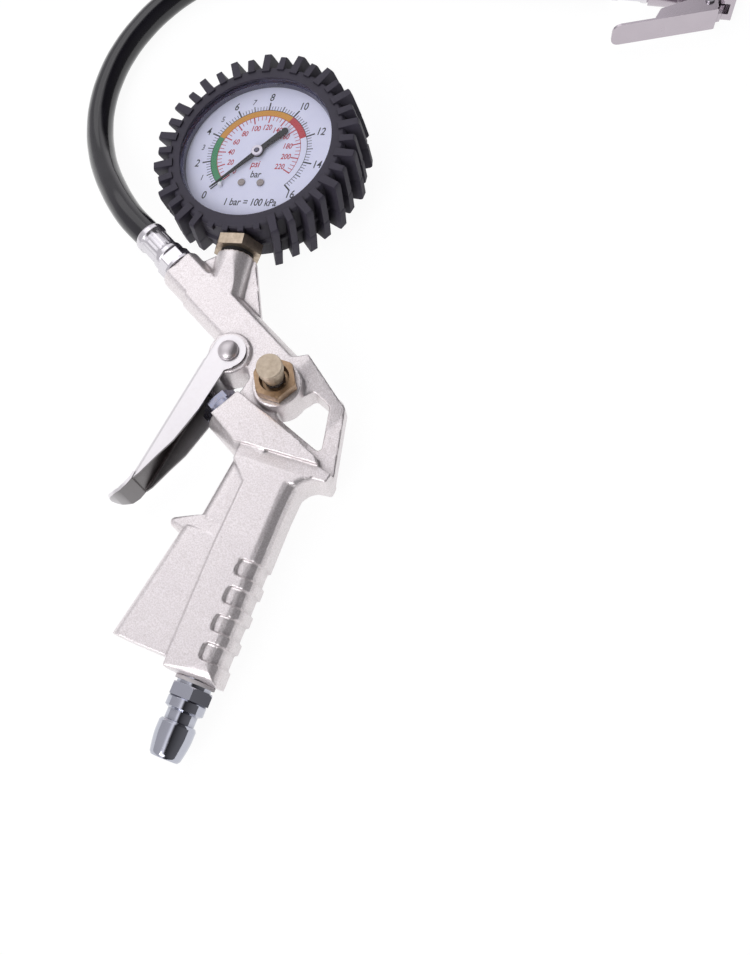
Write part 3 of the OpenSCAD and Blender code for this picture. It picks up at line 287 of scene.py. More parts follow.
def copied(piece: bpy.types.Object, place: Place) -> bpy.types.Object:
    """Returns a copy of a piece with its own mesh, moved to a place."""
    twin = piece.copy()
    twin.data = piece.data.copy()
    twin.data.transform(place.matrix)
    bpy.context.scene.collection.objects.link(twin)
    return twin


def repeated(name: str, model: bpy.types.Object, places: Sequence[Place]) -> bpy.types.Object:
    """Copies a model to each place, joins the copies and removes the model.

    Args:
        name: name of the joined piece.
        model: the piece that is copied.
        places: where the copies go.

    Returns:
        One piece that holds all the copies.
    """
    copies = [copied(model, place) for place in places]
    bpy.data.objects.remove(model)
    return join(name, copies)


def cut(piece: bpy.types.Object, tool: bpy.types.Object) -> None:
    """Cuts a piece with a tool, and removes the tool.

    Args:
        piece: the object that is changed.
        tool: the object that it is cut with.
    """
    modify(piece, "BOOLEAN", object=tool, operation="DIFFERENCE", solver="EXACT")
    bpy.data.objects.remove(tool)


def lathe(
    name: str, profile: Profile, sides: int = 64, hollow: bool = False
) -> bpy.types.Object:
    """Turns a piece about z, as a disc or a circle that is extruded and scaled ring by ring.

    Args:
        name: the piece's name.
        profile: (radius, height) of each ring, in millimetres. A solid's run from the bottom to
            the top, and a hollow ring's run once round its section.
        sides: sides of each ring.
        hollow: whether the last ring is joined to the first, in place of closed ends.

    Returns:
        The turned piece.
    """
    radius, height = profile[0]
    piece = primitive(
        name,
        bpy.ops.mesh.primitive_circle_add,
        vertices=sides,
        radius=radius * MM,
        fill_type="NOTHING" if hollow else "NGON",
        location=(0, 0, height * MM),
    )
    with editing(piece, Element.EDGE if hollow else Element.FACE):
        bpy.ops.mesh.select_all(action="SELECT")
        for next_radius, next_height in [*profile[1:], *(profile[:1] if hollow else [])]:
            extrude_ring(radius, next_radius, height, next_height)
            radius, height = next_radius, next_height
    tidy_normals(piece)
    return piece


def extrude_ring(radius: float, next_radius: float, height: float, next_height: float) -> None:
    """Extrudes the selected ring along z and scales it to its next radius."""
    bpy.ops.mesh.extrude_region_move(
        TRANSFORM_OT_translate={"value": (0, 0, (next_height - height) * MM)}
    )
    scale = next_radius / radius
    bpy.ops.transform.resize(value=(scale, scale, 1), center_override=(0, 0, next_height * MM))


def ring_loop(points: Sequence[Vector]) -> bpy.types.Object:
    """Adds a circle whose corners are moved to the given points, in metres."""
    adder = bpy.ops.mesh.primitive_circle_add
    loop = primitive("loop", adder, vertices=len(points), radius=MM, fill_type="NOTHING")
    for corner, point in zip(loop.data.vertices, points, strict=True):
        corner.co = point
    return loop


def loft(name: str, rings: Sequence[Sequence[Vector]]) -> bpy.types.Object:
    """Bridges rings that have the same number of points into a closed solid.

    Args:
        name: the piece's name.
        rings: the points of each ring, in metres, in the order in which they are bridged.

    Returns:
        The solid.
    """
    sides = len(rings[0])
    piece = join(name, [ring_loop(ring) for ring in rings])
    with editing(piece, Element.EDGE):
        mesh = bmesh.from_edit_mesh(piece.data)
        mesh.verts.ensure_lookup_table()
        for low in range(0, sides * (len(rings) - 1), sides):
            for corner in mesh.verts:
                corner.select_set(low <= corner.index < low + 2 * sides)
            mesh.select_flush(True)
            for edge in mesh.edges:
                same = edge.verts[0].index // sides == edge.verts[1].index // sides
                edge.select_set(same and all(corner.select for corner in edge.verts))
            bmesh.update_edit_mesh(piece.data)
            bpy.ops.mesh.bridge_edge_loops()
            mesh = bmesh.from_edit_mesh(piece.data)
            mesh.verts.ensure_lookup_table()
        for low in (0, sides * (len(rings) - 1)):
            bpy.ops.mesh.select_all(action="DESELECT")
            mesh = bmesh.from_edit_mesh(piece.data)
            for edge in mesh.edges:
                edge.select_set(all(low <= corner.index < low + sides for corner in edge.verts))
            bmesh.update_edit_mesh(piece.data)
            bpy.ops.mesh.edge_face_add()
    tidy_normals(piece)
    return piece


def crimp(piece: bpy.types.Object, low: float, high: float, flats: int, turn: float) -> None:
    """Presses flats into a turned piece between two heights.

    Args:
        piece: the piece, with its axis along z.
        low: lower end of the pressed zone, in millimetres.
        high: upper end of the pressed zone.
        flats: number of flats round the piece.
        turn: turn of the flats, in degrees.
    """
    pitch = 2 * math.pi / flats
    for corner in piece.data.vertices:
        if not low <= corner.co.z / MM <= high:
            continue
        angle = math.atan2(corner.co.y, corner.co.x) - math.radians(turn)
        scale = math.cos(pitch / 2) / math.cos(angle % pitch - pitch / 2)
        corner.co.x *= scale
        corner.co.y *= scale


def rounded_profile(
    corners: Sequence[tuple[float, float, float]], steps: int = 4
) -> list[tuple[float, float]]:
    """Rounds the corners of a profile, each by its own radius.

    Args:
        corners: (radius, height, rounding) of each corner. The first and last stay sharp.
        steps: straight pieces in each rounding.

    Returns:
        The profile's points.
    """
    points = []
    for index, (x, y, rounding) in enumerate(corners):
        if rounding <= 0 or index in (0, len(corners) - 1):
            points.append((x, y))
            continue
        here = Vector((x, y))
        before = (Vector(corners[index - 1][:2]) - here).normalized()
        after = (Vector(corners[index + 1][:2]) - here).normalized()
        half = before.angle(after) / 2
        start = here + before * rounding / math.tan(half)
        end = here + after * rounding / math.tan(half)
        centre = here + (before + after).normalized() * rounding / math.sin(half)
        first, last = start - centre, end - centre
        sweep = first.angle_signed(last)
        for step in range(steps + 1):
            spoke = Matrix.Rotation(-sweep * step / steps, 2) @ first
            points.append(tuple(centre + spoke))
    return points


def merged_copy(frame: dict[str, Any], node: str, name: str) -> bpy.types.Object:
    """Copies a node's mesh into a new piece, with its loose triangles merged into clean faces.

    Args:
        node: the CAD node's name.
        name: the new piece's name.

    Returns:
        The new piece.
    """
    piece = bpy.data.objects.new(name, frame["nodes"][node].data.copy())
    piece.data.materials.clear()
    bpy.context.scene.collection.objects.link(piece)
    with editing(piece, Element.VERT):
        bpy.ops.mesh.select_all(action="SELECT")
        bpy.ops.mesh.remove_doubles(threshold=MERGE * MM)
        bpy.ops.mesh.customdata_custom_splitnormals_clear()
        bpy.ops.mesh.dissolve_limited(angle_limit=math.radians(FLAT_ANGLE))
    return piece


def lettering(
    words: str, cap: float, squeeze: float, slant: float, place: Place
) -> bpy.types.Object:
    """Makes printed words as a thin mesh.

    Args:
        words: the words.
        cap: height of a capital, in millimetres.
        squeeze: width of a letter against its usual one.
        slant: how far the letters lean.
        place: the middle of the words.

    Returns:
        The words, as one mesh in its place.
    """
    bpy.ops.object.select_all(action="DESELECT")
    bpy.ops.object.text_add()
    text = bpy.context.active_object
    text.data.body = words
    text.data.size = cap / CAP_SHARE * MM
    text.data.shear = slant
    text.data.align_x = "CENTER"
    text.data.align_y = "CENTER"
    text.data.extrude = PRINT_THICKNESS / 2 * MM
    text.data.offset = PRINT_WEIGHT * MM
    text.data.resolution_u = FONT_STEPS
    bpy.ops.object.convert(target="MESH")
    piece = bpy.context.active_object
    piece.data.transform(Matrix.Diagonal((squeeze, 1, 1, 1)))
    piece.data.transform(place.matrix)
    return piece


# ---------------------------------------------------------------------------------------- shading


def tint(code: str) -> Colour:
    """Returns the linear colour of a hexadecimal code such as cfc9cc."""
    parts = [int(code[i : i + 2], 16) / 255 for i in (0, 2, 4)]
    linear = [p / 12.92 if p <= 0.04045 else ((p + 0.055) / 1.055) ** 2.4 for p in parts]
    return (linear[0], linear[1], linear[2], 1.0)


class Signal:
    """A value that runs through a material's nodes, on which Python's operators add Math nodes."""

    def __init__(self, paint: "Paint", socket: bpy.types.NodeSocket) -> None:
        """Wraps a socket of a paint's node tree."""
        self.paint = paint
        self.socket = socket

    def _math(self, operation: str, first: Any, second: Any, clamp: bool = False) -> "Signal":
        """Adds one Math node between two values or signals."""
        settings = {"operation": operation, "use_clamp": clamp}
        return self.paint.node("ShaderNodeMath", settings, {0: first, 1: second})

    def __add__(self, other: Any) -> "Signal":
        """Returns the sum."""
        return self._math("ADD", self, other)

    __radd__ = __add__

    def __sub__(self, other: Any) -> "Signal":
        """Returns this less the other."""
        return self._math("SUBTRACT", self, other)

    def __rsub__(self, other: Any) -> "Signal":
        """Returns the other less this."""
        return self._math("SUBTRACT", other, self)

    def __mul__(self, other: Any) -> "Signal":
        """Returns the product."""
        return self._math("MULTIPLY", self, other)

    __rmul__ = __mul__

    def clamped(self) -> "Signal":
        """Returns this kept between 0 and 1."""
        return self._math("ADD", self, 0.0, clamp=True)

    def spread(self, low: float, high: float) -> "Signal":
        """Returns this mapped so that low becomes 0 and high becomes 1."""
        return self._math("MULTIPLY", self - low, 1.0 / (high - low), clamp=True)


class Paint:
    """A material under construction."""

    def __init__(self, name: str) -> None:
        """Starts an empty material with that name."""
        self.material = bpy.data.materials.new(name)
        self.material.use_nodes = True
        self.tree = self.material.node_tree
        self.tree.nodes.clear()

    def node(
        self,
        kind: str,
        settings: dict[str, Any] | None = None,
        sockets: dict[Any, Any] | None = None,
        output: Any = 0,
    ) -> Signal:
        """Adds a node, sets it and links it.

        Args:
            kind: the node's type.
            settings: its properties.
            sockets: values or signals for its inputs, by name or number.
            output: which of its outputs is wanted, by name or number.

        Returns:
            The wanted output.
        """
        made = self.tree.nodes.new(kind)
        for key, value in (settings or {}).items():
            setattr(made, key, value)
        for key, value in (sockets or {}).items():
            if isinstance(value, Signal):
                self.tree.links.new(value.socket, made.inputs[key])
            else:
                made.inputs[key].default_value = value
        return Signal(self, made.outputs[output]) if made.outputs else Signal(self, None)

    def place(self) -> Signal:
        """Returns the Object coordinates, which are metres in the row frame."""
        return self.node("ShaderNodeTexCoord", output="Object")

    def noise(self, size: float, detail: float = 2.0, rough: float = 0.5) -> Signal:
        """Returns noise between 0 and 1.

        Args:
            size: size of its blotches, in millimetres.
            detail: how much finer detail it has.
            rough: how strong that detail is.
        """
        scale = 1 / (size * MM)
        sockets = {"Vector": self.place(), "Scale": scale, "Detail": detail, "Roughness": rough}
        return self.node("ShaderNodeTexNoise", sockets=sockets)

    def blend(self, factor: Signal | float, first: Any, second: Any) -> Signal:
        """Returns a mix of two colours."""
        settings = {"data_type": "RGBA", "clamp_factor": True}
        sockets = {MIX_FACTOR: factor, MIX_FIRST: first, MIX_SECOND: second}
        return self.node("ShaderNodeMix", settings, sockets, output=MIX_RESULT)

    def crevice(self, reach: float) -> Signal:
        """Returns how closed in a point is, from 0 to 1, within a reach in millimetres."""
        settings = {"samples": 8, "only_local": True}
        open_air = self.node(
            "ShaderNodeAmbientOcclusion", settings, {"Distance": reach * MM}, output="AO"
        )
        return 1.0 - open_air

    def bump(self, height: Signal, depth: float) -> Signal:
        """Returns a normal that shows a height, whose full range is a depth in millimetres."""
        sockets = {"Height": height, "Distance": depth * MM, "Strength": 1.0}
        return self.node("ShaderNodeBump", sockets=sockets)

    def surface(self, **sockets: Any) -> bpy.types.Material:
        """Ends the material with one shader.

        Args:
            sockets: the shader's inputs, with underscores for spaces.

        Returns:
            The finished material.
        """
        named = {key.replace("_", " "): value for key, value in sockets.items()}
        return self.output(self.node("ShaderNodeBsdfPrincipled", sockets=named))

    def output(self, shader: Signal) -> bpy.types.Material:
        """Links a shader to the material's output and returns the material."""
        self.node("ShaderNodeOutputMaterial", sockets={"Surface": shader})
        return self.material


# --------------------------------------------------------------------------------------- finishes


@dataclass(frozen=True)
class CastMetal:
    """Satin plated casting: a sand-like grain, soft blotches and painted shade in its corners.

    Sizes are in millimetres.
    """

    name: str
    colour: str
    shade: str
    rough: float = 0.36
    metallic: float = 0.62
    grain: float = 0.5
    depth: float = 0.05
    # Painted shade: corner is the colour that closed-in places are darkened towards, reach is how
    # far the closing-in is looked for, and hollow is how strongly. inside adds painted shade on
    # faces turned towards +x.
    corner: str = "4f4645"
    reach: float = 2.2
    hollow: float = 0.9
    inside: float = 0.0
    speckle: float = 0.3
    dirt: str = "a2968f"
    coarse: float = 1.5
    cloud: float = 13.0
    pit: float = 1.1

    def make(self) -> bpy.types.Material:
        """Builds the material."""
        paint = Paint(self.name)
        grain = paint.noise(self.grain, 3.0, 0.6)
        coarse = paint.noise(self.coarse, 2.0)
        cloud = paint.noise(self.cloud, 3.0, 0.55)
        corner = paint.crevice(self.reach)
        pits = paint.noise(self.pit, 1.0).spread(0.68, 0.76)
        speck = grain.spread(0.42, 0.62)
        body = paint.blend(cloud.spread(0.35, 0.75) * 0.25, tint(self.colour), tint(self.shade))
        body = paint.blend((1.0 - speck + pits * 0.5) * self.speckle, body, tint(self.dirt))
        # Painted shade: closed-in places, and with inside also the faces turned towards +x, are
        # mixed towards the corner colour.
        closed = corner * self.hollow
        if self.inside:
            facing = paint.node("ShaderNodeTexCoord", output="Normal")
            across = paint.node("ShaderNodeSeparateXYZ", sockets={0: facing}, output="X")
            closed = closed + across.spread(0.15, 0.75) * self.inside
        body = paint.blend(closed.clamped(), body, tint(self.corner))
        return paint.surface(
            Base_Color=body,
            Metallic=self.metallic,
            Roughness=(self.rough - 0.06) + grain * 0.14 + corner * 0.15,
            Normal=paint.bump(grain + coarse * 0.5 - pits * 0.4, self.depth),
        )


@dataclass(frozen=True)
class PlatedMetal:
    """Smooth plated or polished metal with faint wiping marks and painted shade in its corners."""

    name: str
    colour: str
    rough: float = 0.16
    marks: float = 0.06
    wave: float = 0.002
    # Painted shade: dark is the colour that closed-in places are darkened towards, apart from a
    # little random clouding. reach is how far the closing-in is looked for.
    dark: str = "4c4a52"
    wipe: float = 3.4
    cloud: float = 7.0
    reach: float = 1.2

    def make(self) -> bpy.types.Material:
        """Builds the material."""
        paint = Paint(self.name)
        wiped = paint.noise(self.wipe, 3.0, 0.65)
        cloud = paint.noise(self.cloud, 2.0)
        # Painted shade: closed-in places are darkened towards the dark colour, and they are also
        # made rougher.
        shaded_and_dull = paint.crevice(self.reach)
        share = (cloud * 0.12 + shaded_and_dull * 0.8).clamped()
        body = paint.blend(share, tint(self.colour), tint(self.dark))
        return paint.surface(
            Base_Color=body,
            Metallic=1.0,
            Roughness=self.rough + wiped * self.marks + shaded_and_dull * 0.15,
            Normal=paint.bump(wiped, self.wave),
        )


@dataclass(frozen=True)
class Brass:
    """Turned brass under a thin tarnish, with painted shade that makes it browner in its corners.
    """

    name: str
    colour: str
    tarnish: str
    rough: float = 0.3
    # Painted shade: corner is the brown that closed-in places are darkened towards, and reach is
    # how far the closing-in is looked for.
    corner: str = "3b3220"
    stain: float = 1.6
    grain: float = 0.25
    depth: float = 0.012
    reach: float = 1.2

    def make(self) -> bpy.types.Material:
        """Builds the material."""
        paint = Paint(self.name)
        stain = paint.noise(self.stain, 4.0, 0.6).spread(0.35, 0.7)
        corner = paint.crevice(self.reach)
        grain = paint.noise(self.grain, 2.0)
        body = paint.blend(stain * 0.55, tint(self.colour), tint(self.tarnish))
        # Painted shade: closed-in places are mixed towards the corner colour.
        body = paint.blend((corner * 0.9).clamped(), body, tint(self.corner))
        return paint.surface(
            Base_Color=body,
            Metallic=0.92,
            Roughness=self.rough + stain * 0.12 + corner * 0.2,
            Normal=paint.bump(grain, self.depth),
        )


@dataclass(frozen=True)
class Rubber:
    """Black rubber, from matt and dusty to wet-looking, with painted shade in its corners."""

    name: str
    colour: str
    dust: str
    rough: float = 0.55
    dusting: float = 0.35
    grain: float = 0.35
    depth: float = 0.02
    coat: float = 0.0
    # Painted shade: hollow is the near black that closed-in places are darkened towards, and reach
    # is how far the closing-in is looked for.
    hollow: str = "08080a"
    cloud: float = 6.0
    reach: float = 3.0

    def make(self) -> bpy.types.Material:
        """Builds the material."""
        paint = Paint(self.name)
        grain = paint.noise(self.grain, 2.0)
        cloud = paint.noise(self.cloud, 4.0, 0.6).spread(0.4, 0.75)
        corner = paint.crevice(self.reach)
        body = paint.blend(cloud * self.dusting, tint(self.colour), tint(self.dust))
        # Painted shade: closed-in places are mixed towards the hollow colour.
        body = paint.blend((corner * 0.85).clamped(), body, tint(self.hollow))
        return paint.surface(
            Base_Color=body,
            Roughness=self.rough + grain * 0.1 + cloud * 0.05,
            Coat_Weight=self.coat,
            Coat_Roughness=0.1,
            Specular_IOR_Level=0.4,
            Normal=paint.bump(grain, self.depth),
        )


@dataclass(frozen=True)
class Enamel:
    """Printed or enamelled sheet in one colour with a very faint unevenness."""

    name: str
    colour: str
    shade: str
    rough: float = 0.45
    cloud: float = 9.0
    grain: float = 0.3
    depth: float = 0.003

    def make(self) -> bpy.types.Material:
        """Builds the material."""
        paint = Paint(self.name)
        cloud = paint.noise(self.cloud, 2.0)
        grain = paint.noise(self.grain, 1.0)
        body = paint.blend(cloud.spread(0.4, 0.7) * 0.5, tint(self.colour), tint(self.shade))
        return paint.surface(
            Base_Color=body,
            Roughness=self.rough + grain * 0.08,
            Normal=paint.bump(grain, self.depth),
        )


@dataclass(frozen=True)
class ClearPane:
    """Clear pane: a mirror at grazing angles and nearly nothing straight on."""

    name: str
    rough: float = 0.03
    clear: Colour = (0.97, 0.975, 1.0, 1.0)
    index: float = 1.49
    smear: float = 8.0

    def make(self) -> bpy.types.Material:
        """Builds the material."""
        paint = Paint(self.name)
        smear = paint.noise(self.smear, 3.0)
        through = paint.node("ShaderNodeBsdfTransparent", sockets={"Color": self.clear})
        gloss = {"Color": WHITE, "Roughness": self.rough}
        mirror = paint.node("ShaderNodeBsdfGlossy", sockets=gloss)
        edge = paint.node("ShaderNodeFresnel", sockets={"IOR": self.index})
        inside = paint.node("ShaderNodeNewGeometry", output="Backfacing")
        share = (edge * (0.45 + smear * 0.4) * (1.0 - inside)).clamped()
        mixed = paint.node("ShaderNodeMixShader", sockets={0: share, 1: through, 2: mirror})
        return paint.output(mixed)


class Look(Enum):
    """The finishes of the object, each with the record's slot that it belongs to."""

    # Each finish paints shade into its closed-in places, towards its corner, dark or hollow
    # colour.
    CASTING = (CastMetal("cast_nickel", "fdf7f9", "efe8ec", 0.31, 0.68, 0.45, 0.08), "cast")
    # The lever has a strong, far-reaching painted shade, plus painted shade on its faces turned
    # towards +x, to darken the inside of its channel.
    LEVER = (
        CastMetal(
            "pressed_nickel",
            "f0edf0",
            "e2dde1",
            rough=0.3,
            metallic=0.7,
            grain=2.4,
            depth=0.006,
            corner="332b2b",
            reach=9.0,
            hollow=1.8,
            inside=0.8,
            speckle=0.05,
        ),
        "lever",
    )
    STEEL = (PlatedMetal("plain_steel", "b9b7bc", 0.24), "steel")
    RIVET = (PlatedMetal("rivet_steel", "dcd6d9", 0.36, 0.1, 0.004), "steel")
    ZINC = (CastMetal("zinc_plate", "989cb2", "6e7388", 0.24, 1.0, 0.9, 0.02, "3b3d4a"), "zinc")
    NUT_BRASS = (Brass("nut_brass", "b0957a", "7d6247"), "brass")
    BUTTON_BRASS = (Brass("button_brass", "d2c3b0", "b5a48e", 0.45), "brass")
    STEM_BRASS = (Brass("stem_brass", "c9b9a6", "8f806b", 0.32), "brass")
    CLOCK_BRASS = (Brass("clock_brass", "c2a661", "94773a", 0.26), "brass")
    CHROME = (PlatedMetal("bright_chrome", "bfc1cc", 0.07, 0.03), "plated")
    NICKEL = (PlatedMetal("bright_nickel", "e6e3e8", 0.2, 0.06, 0.002, "8d8990"), "plated")
    SEAL = (Rubber("seal_rubber", "202023", "34343a"), "rubber")
    TREAD = (Rubber("tread_rubber", "3a3643", "494554", 0.5, 0.4, 0.3, 0.03), "tread")
    HOSE = (Rubber("hose_rubber", "131119", "211e2a", 0.16, 0.3, 1.6, 0.015, 0.6), "hose_rubber")
    DARK_STEEL = (PlatedMetal("dark_plate", "5c5a68", 0.18, 0.04), "dark_steel")
    SCREW = (PlatedMetal("dial_screw", "8f8680", 0.3), "steel")
    CHUCK = (PlatedMetal("chuck_nickel", "c4bbc3", 0.22, 0.08, 0.003, "6a636b"), "plated")
    TAPE = (Enamel("thread_tape", "c9c4c6", "a59fa2"), "brass")
    CLEAR = (ClearPane("clear_pane"), "clear")
    DIAL = (Enamel("dial_white", "f1f1ff", "eaeafa"), "dial")
    INK_BLACK = (Enamel("ink_black", "16161f", "22222c"), "dial")
    INK_GREY = (Enamel("ink_grey", "4a4a5e", "565669"), "dial")
    INK_RED = (Enamel("ink_red", "c02238", "c63247"), "dial")
    BAND_GREEN = (Enamel("band_green", "3f9660", "3a8f5a"), "dial")
    BAND_AMBER = (Enamel("band_amber", "e09c2e", "da9528"), "dial")
    BAND_RED = (Enamel("band_red", "c93b43", "c2363f"), "dial")
    BLACK = (Enamel("needle_black", "0b0b0d", "131316", 0.5), "black")
    WHITE = (Enamel("pin_white", "f2f2f4", "e4e4e8", 0.3), "steel")


class Finishes:
    """Makes each finish once and keeps it."""

    def __init__(self) -> None:
        """Starts with no finish made."""
        self._made: dict[Look, bpy.types.Material] = {}

    def get(self, look: Look) -> bpy.types.Material:
        """Returns the material of a look, made the first time it is asked for."""
        if look not in self._made:
            self._made[look] = look.value[0].make()
        return self._made[look]


# ------------------------------------------------------------------------------------- assemblies


@dataclass
class Assembly:
    """A group of pieces that are built and dressed together."""

    frame: dict[str, Any]
    layout: Layout
    finishes: Finishes

    def dress(
        self,
        piece: bpy.types.Object,
        look: Look,
        body: str = "gun",
        stands_for: Sequence[str] = (),
        place: Place | None = None,
        angle: float | None = SMOOTH_ANGLE,
        weigh: bool = False,
    ) -> None:
        """Puts a new piece in its place, gives it a finish and lets it ride a body.

        Args:
            piece: the piece.
            look: its finish.
            body: the CAD body that carries it.
            stands_for: the CAD nodes that it replaces.
            place: where it goes, if its mesh is still at the origin.
            angle: sharpest edge that is shaded smooth, in degrees, or None to leave its shading.
            weigh: whether wide faces keep their own normals, so that they look flat.
        """
        if place is not None:
            piece.data.transform(place.matrix)
        if angle is not None:
            smooth(piece, angle)
        if weigh:
            modify(piece, "WEIGHTED_NORMAL", keep_sharp=True)
        piece.data.materials.clear()
        piece.data.materials.append(self.finishes.get(look))
        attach(piece, body)
        if stands_for:
            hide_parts(*stands_for)
        LOG.info("%s: %d faces", piece.name, len(piece.data.polygons))

    def keep(self, look: Look, *nodes: str) -> None:
        """Gives CAD nodes that stay a finish."""
        for node in nodes:
            mesh = self.frame["nodes"][node].data
            mesh.materials.clear()
            mesh.materials.append(self.finishes.get(look))
            LOG.info("%s: kept", node)

    def soften(
        self,
        node: str,
        name: str,
        look: Look,
        width: float,
        body: str = "gun",
        angle: float = BEVEL_ANGLE,
    ) -> None:
        """Replaces a node by a merged copy whose edges are rounded.

        Args:
            node: the CAD node.
            name: the new piece's name.
            look: its finish.
            width: width of the rounding, in millimetres.
            body: the CAD body that carries it.
            angle: least angle of an edge that is rounded, in degrees.
        """
        piece = merged_copy(self.frame, node, name)
        bevel(piece, width, angle)
        self.dress(piece, look, body, [node], weigh=True)


@dataclass
class Casting(Assembly):
    """The die-cast gun body: barrel, neck, valve housing, tail, grip and finger hook."""

    skin: float = 0.36
    relax: int = 2
    kept_share: float = 0.34
    smooth_angle: float = 50.0

    def build(self) -> None:
        """Builds the casting as one skin whose edges are rounded as in a mould."""
        piece = merged_copy(self.frame, "gun_body", "gun_casting")
        modify(piece, "REMESH", mode="VOXEL", voxel_size=self.skin * MM, adaptivity=0.0)
        modify(piece, "SMOOTH", factor=0.5, iterations=self.relax)
        modify(piece, "DECIMATE", decimate_type="COLLAPSE", ratio=self.kept_share)
        self.dress(piece, Look.CASTING, stands_for=["gun_body"], angle=self.smooth_angle)


@dataclass
class Trigger(Assembly):
    """The pressed trigger lever, with its rivet and washer."""

    pin_radius: float = 2.2
    head_radius: float = 3.55
    head_seat: float = 8.65
    head_height: float = 1.9
    upset: float = 1.05
    gap: float = 0.02
    dome_steps: int = 9

    def build(self) -> None:
        """Builds the lever and the rivet."""
        self.soften("trigger_lever", "trigger_shell", Look.LEVER, 0.3, "trigger", 25.0)
        self.rivet()
        self.keep(Look.LEVER, "pivot_washer")

    def rivet(self) -> None:
        """Builds the rivet with its domed head and its upset end."""
        foot = self.head_seat
        turns = [math.radians(90 * i / self.dome_steps) for i in range(self.dome_steps)]
        profile = [
            (self.head_radius - 0.5, -foot - self.upset),
            (self.head_radius - 0.1, -foot - 0.5),
            (self.head_radius, -foot - self.gap),
            (self.pin_radius, -foot),
            (self.pin_radius, foot),
            *[
                (
                    self.head_radius * math.cos(turn) + self.gap,
                    self.head_seat + self.head_height * math.sin(turn),
                )
                for turn in turns
            ],
            (0.3, self.head_seat + self.head_height),
        ]
        pin = lathe("pivot_rivet", profile)
        self.dress(pin, Look.RIVET, "gun", ["pivot_pin"], self.layout.gun, 50.0)


@dataclass
class Valve(Assembly):
    """The main air valve in its housing, with the bonnet that the trigger pushes through."""

    def build(self) -> None:
        """Builds the bonnet and keeps the pieces inside."""
        self.soften("valve_bonnet", "bonnet_nut", Look.ZINC, 0.25)
        self.soften("valve_stem", "push_stem", Look.STEEL, 0.15, "stem")
        self.keep(Look.CLOCK_BRASS, "valve_seat", "valve_disc")
        self.keep(Look.SEAL, "stem_seal", "disc_seal")
        self.keep(Look.STEEL, "valve_spring")


@dataclass
class BleedValve(Assembly):
    """The brass bleed valve on the gun's side: hexagon nut, button and spring."""

    button_radius: float = 4.2
    button_top: float = 24.0
    button_height: float = 3.2
    neck_radius: float = 3.45
    neck_foot: float = 16.0

    def build(self) -> None:
        """Builds the nut and the button, and keeps the spring and the seals."""
        line = self.layout.bleed_line
        nut = merged_copy(self.frame, "bleed_nut", "bleed_hexagon")
        bevel(nut, 0.2)
        self.dress(nut, Look.NUT_BRASS, stands_for=["bleed_nut"], weigh=True)
        button = lathe("bleed_cap", self.button_profile(), 72)
        stem = merged_copy(self.frame, "bleed_button", "bleed_stem")
        with editing(stem):
            bpy.ops.mesh.select_all(action="SELECT")
            bpy.ops.mesh.bisect(
                plane_co=line.point(0, 0, self.neck_foot),
                plane_no=line.matrix.to_3x3() @ Vector((0, 0, 1)),
                use_fill=True,
                clear_outer=True,
            )
        button.data.transform(line.matrix)
        piece = join("bleed_push_button", [button, stem])
        self.dress(piece, Look.BUTTON_BRASS, "bleed", ["bleed_button"], weigh=True)
        self.keep(Look.STEEL, "bleed_spring")
        self.keep(Look.SEAL, "bleed_washer", "bleed_disc")

    def button_profile(self) -> list[tuple[float, float]]:
        """Returns the turned outline of the button above its stem."""
        foot, neck, cap = self.neck_foot - 0.1, self.neck_radius, self.button_radius
        shoulder = self.button_top - self.button_height
        return rounded_profile(
            [
                (1.4, foot, 0),
                (neck, foot, 0.3),
                (neck, shoulder, 0.15),
                (cap, shoulder, 0.2),
                (cap, self.button_top, 0.22),
                (cap - 0.5, self.button_top + 0.001, 0),
                (0.4, self.button_top + 0.02, 0),
            ]
        )


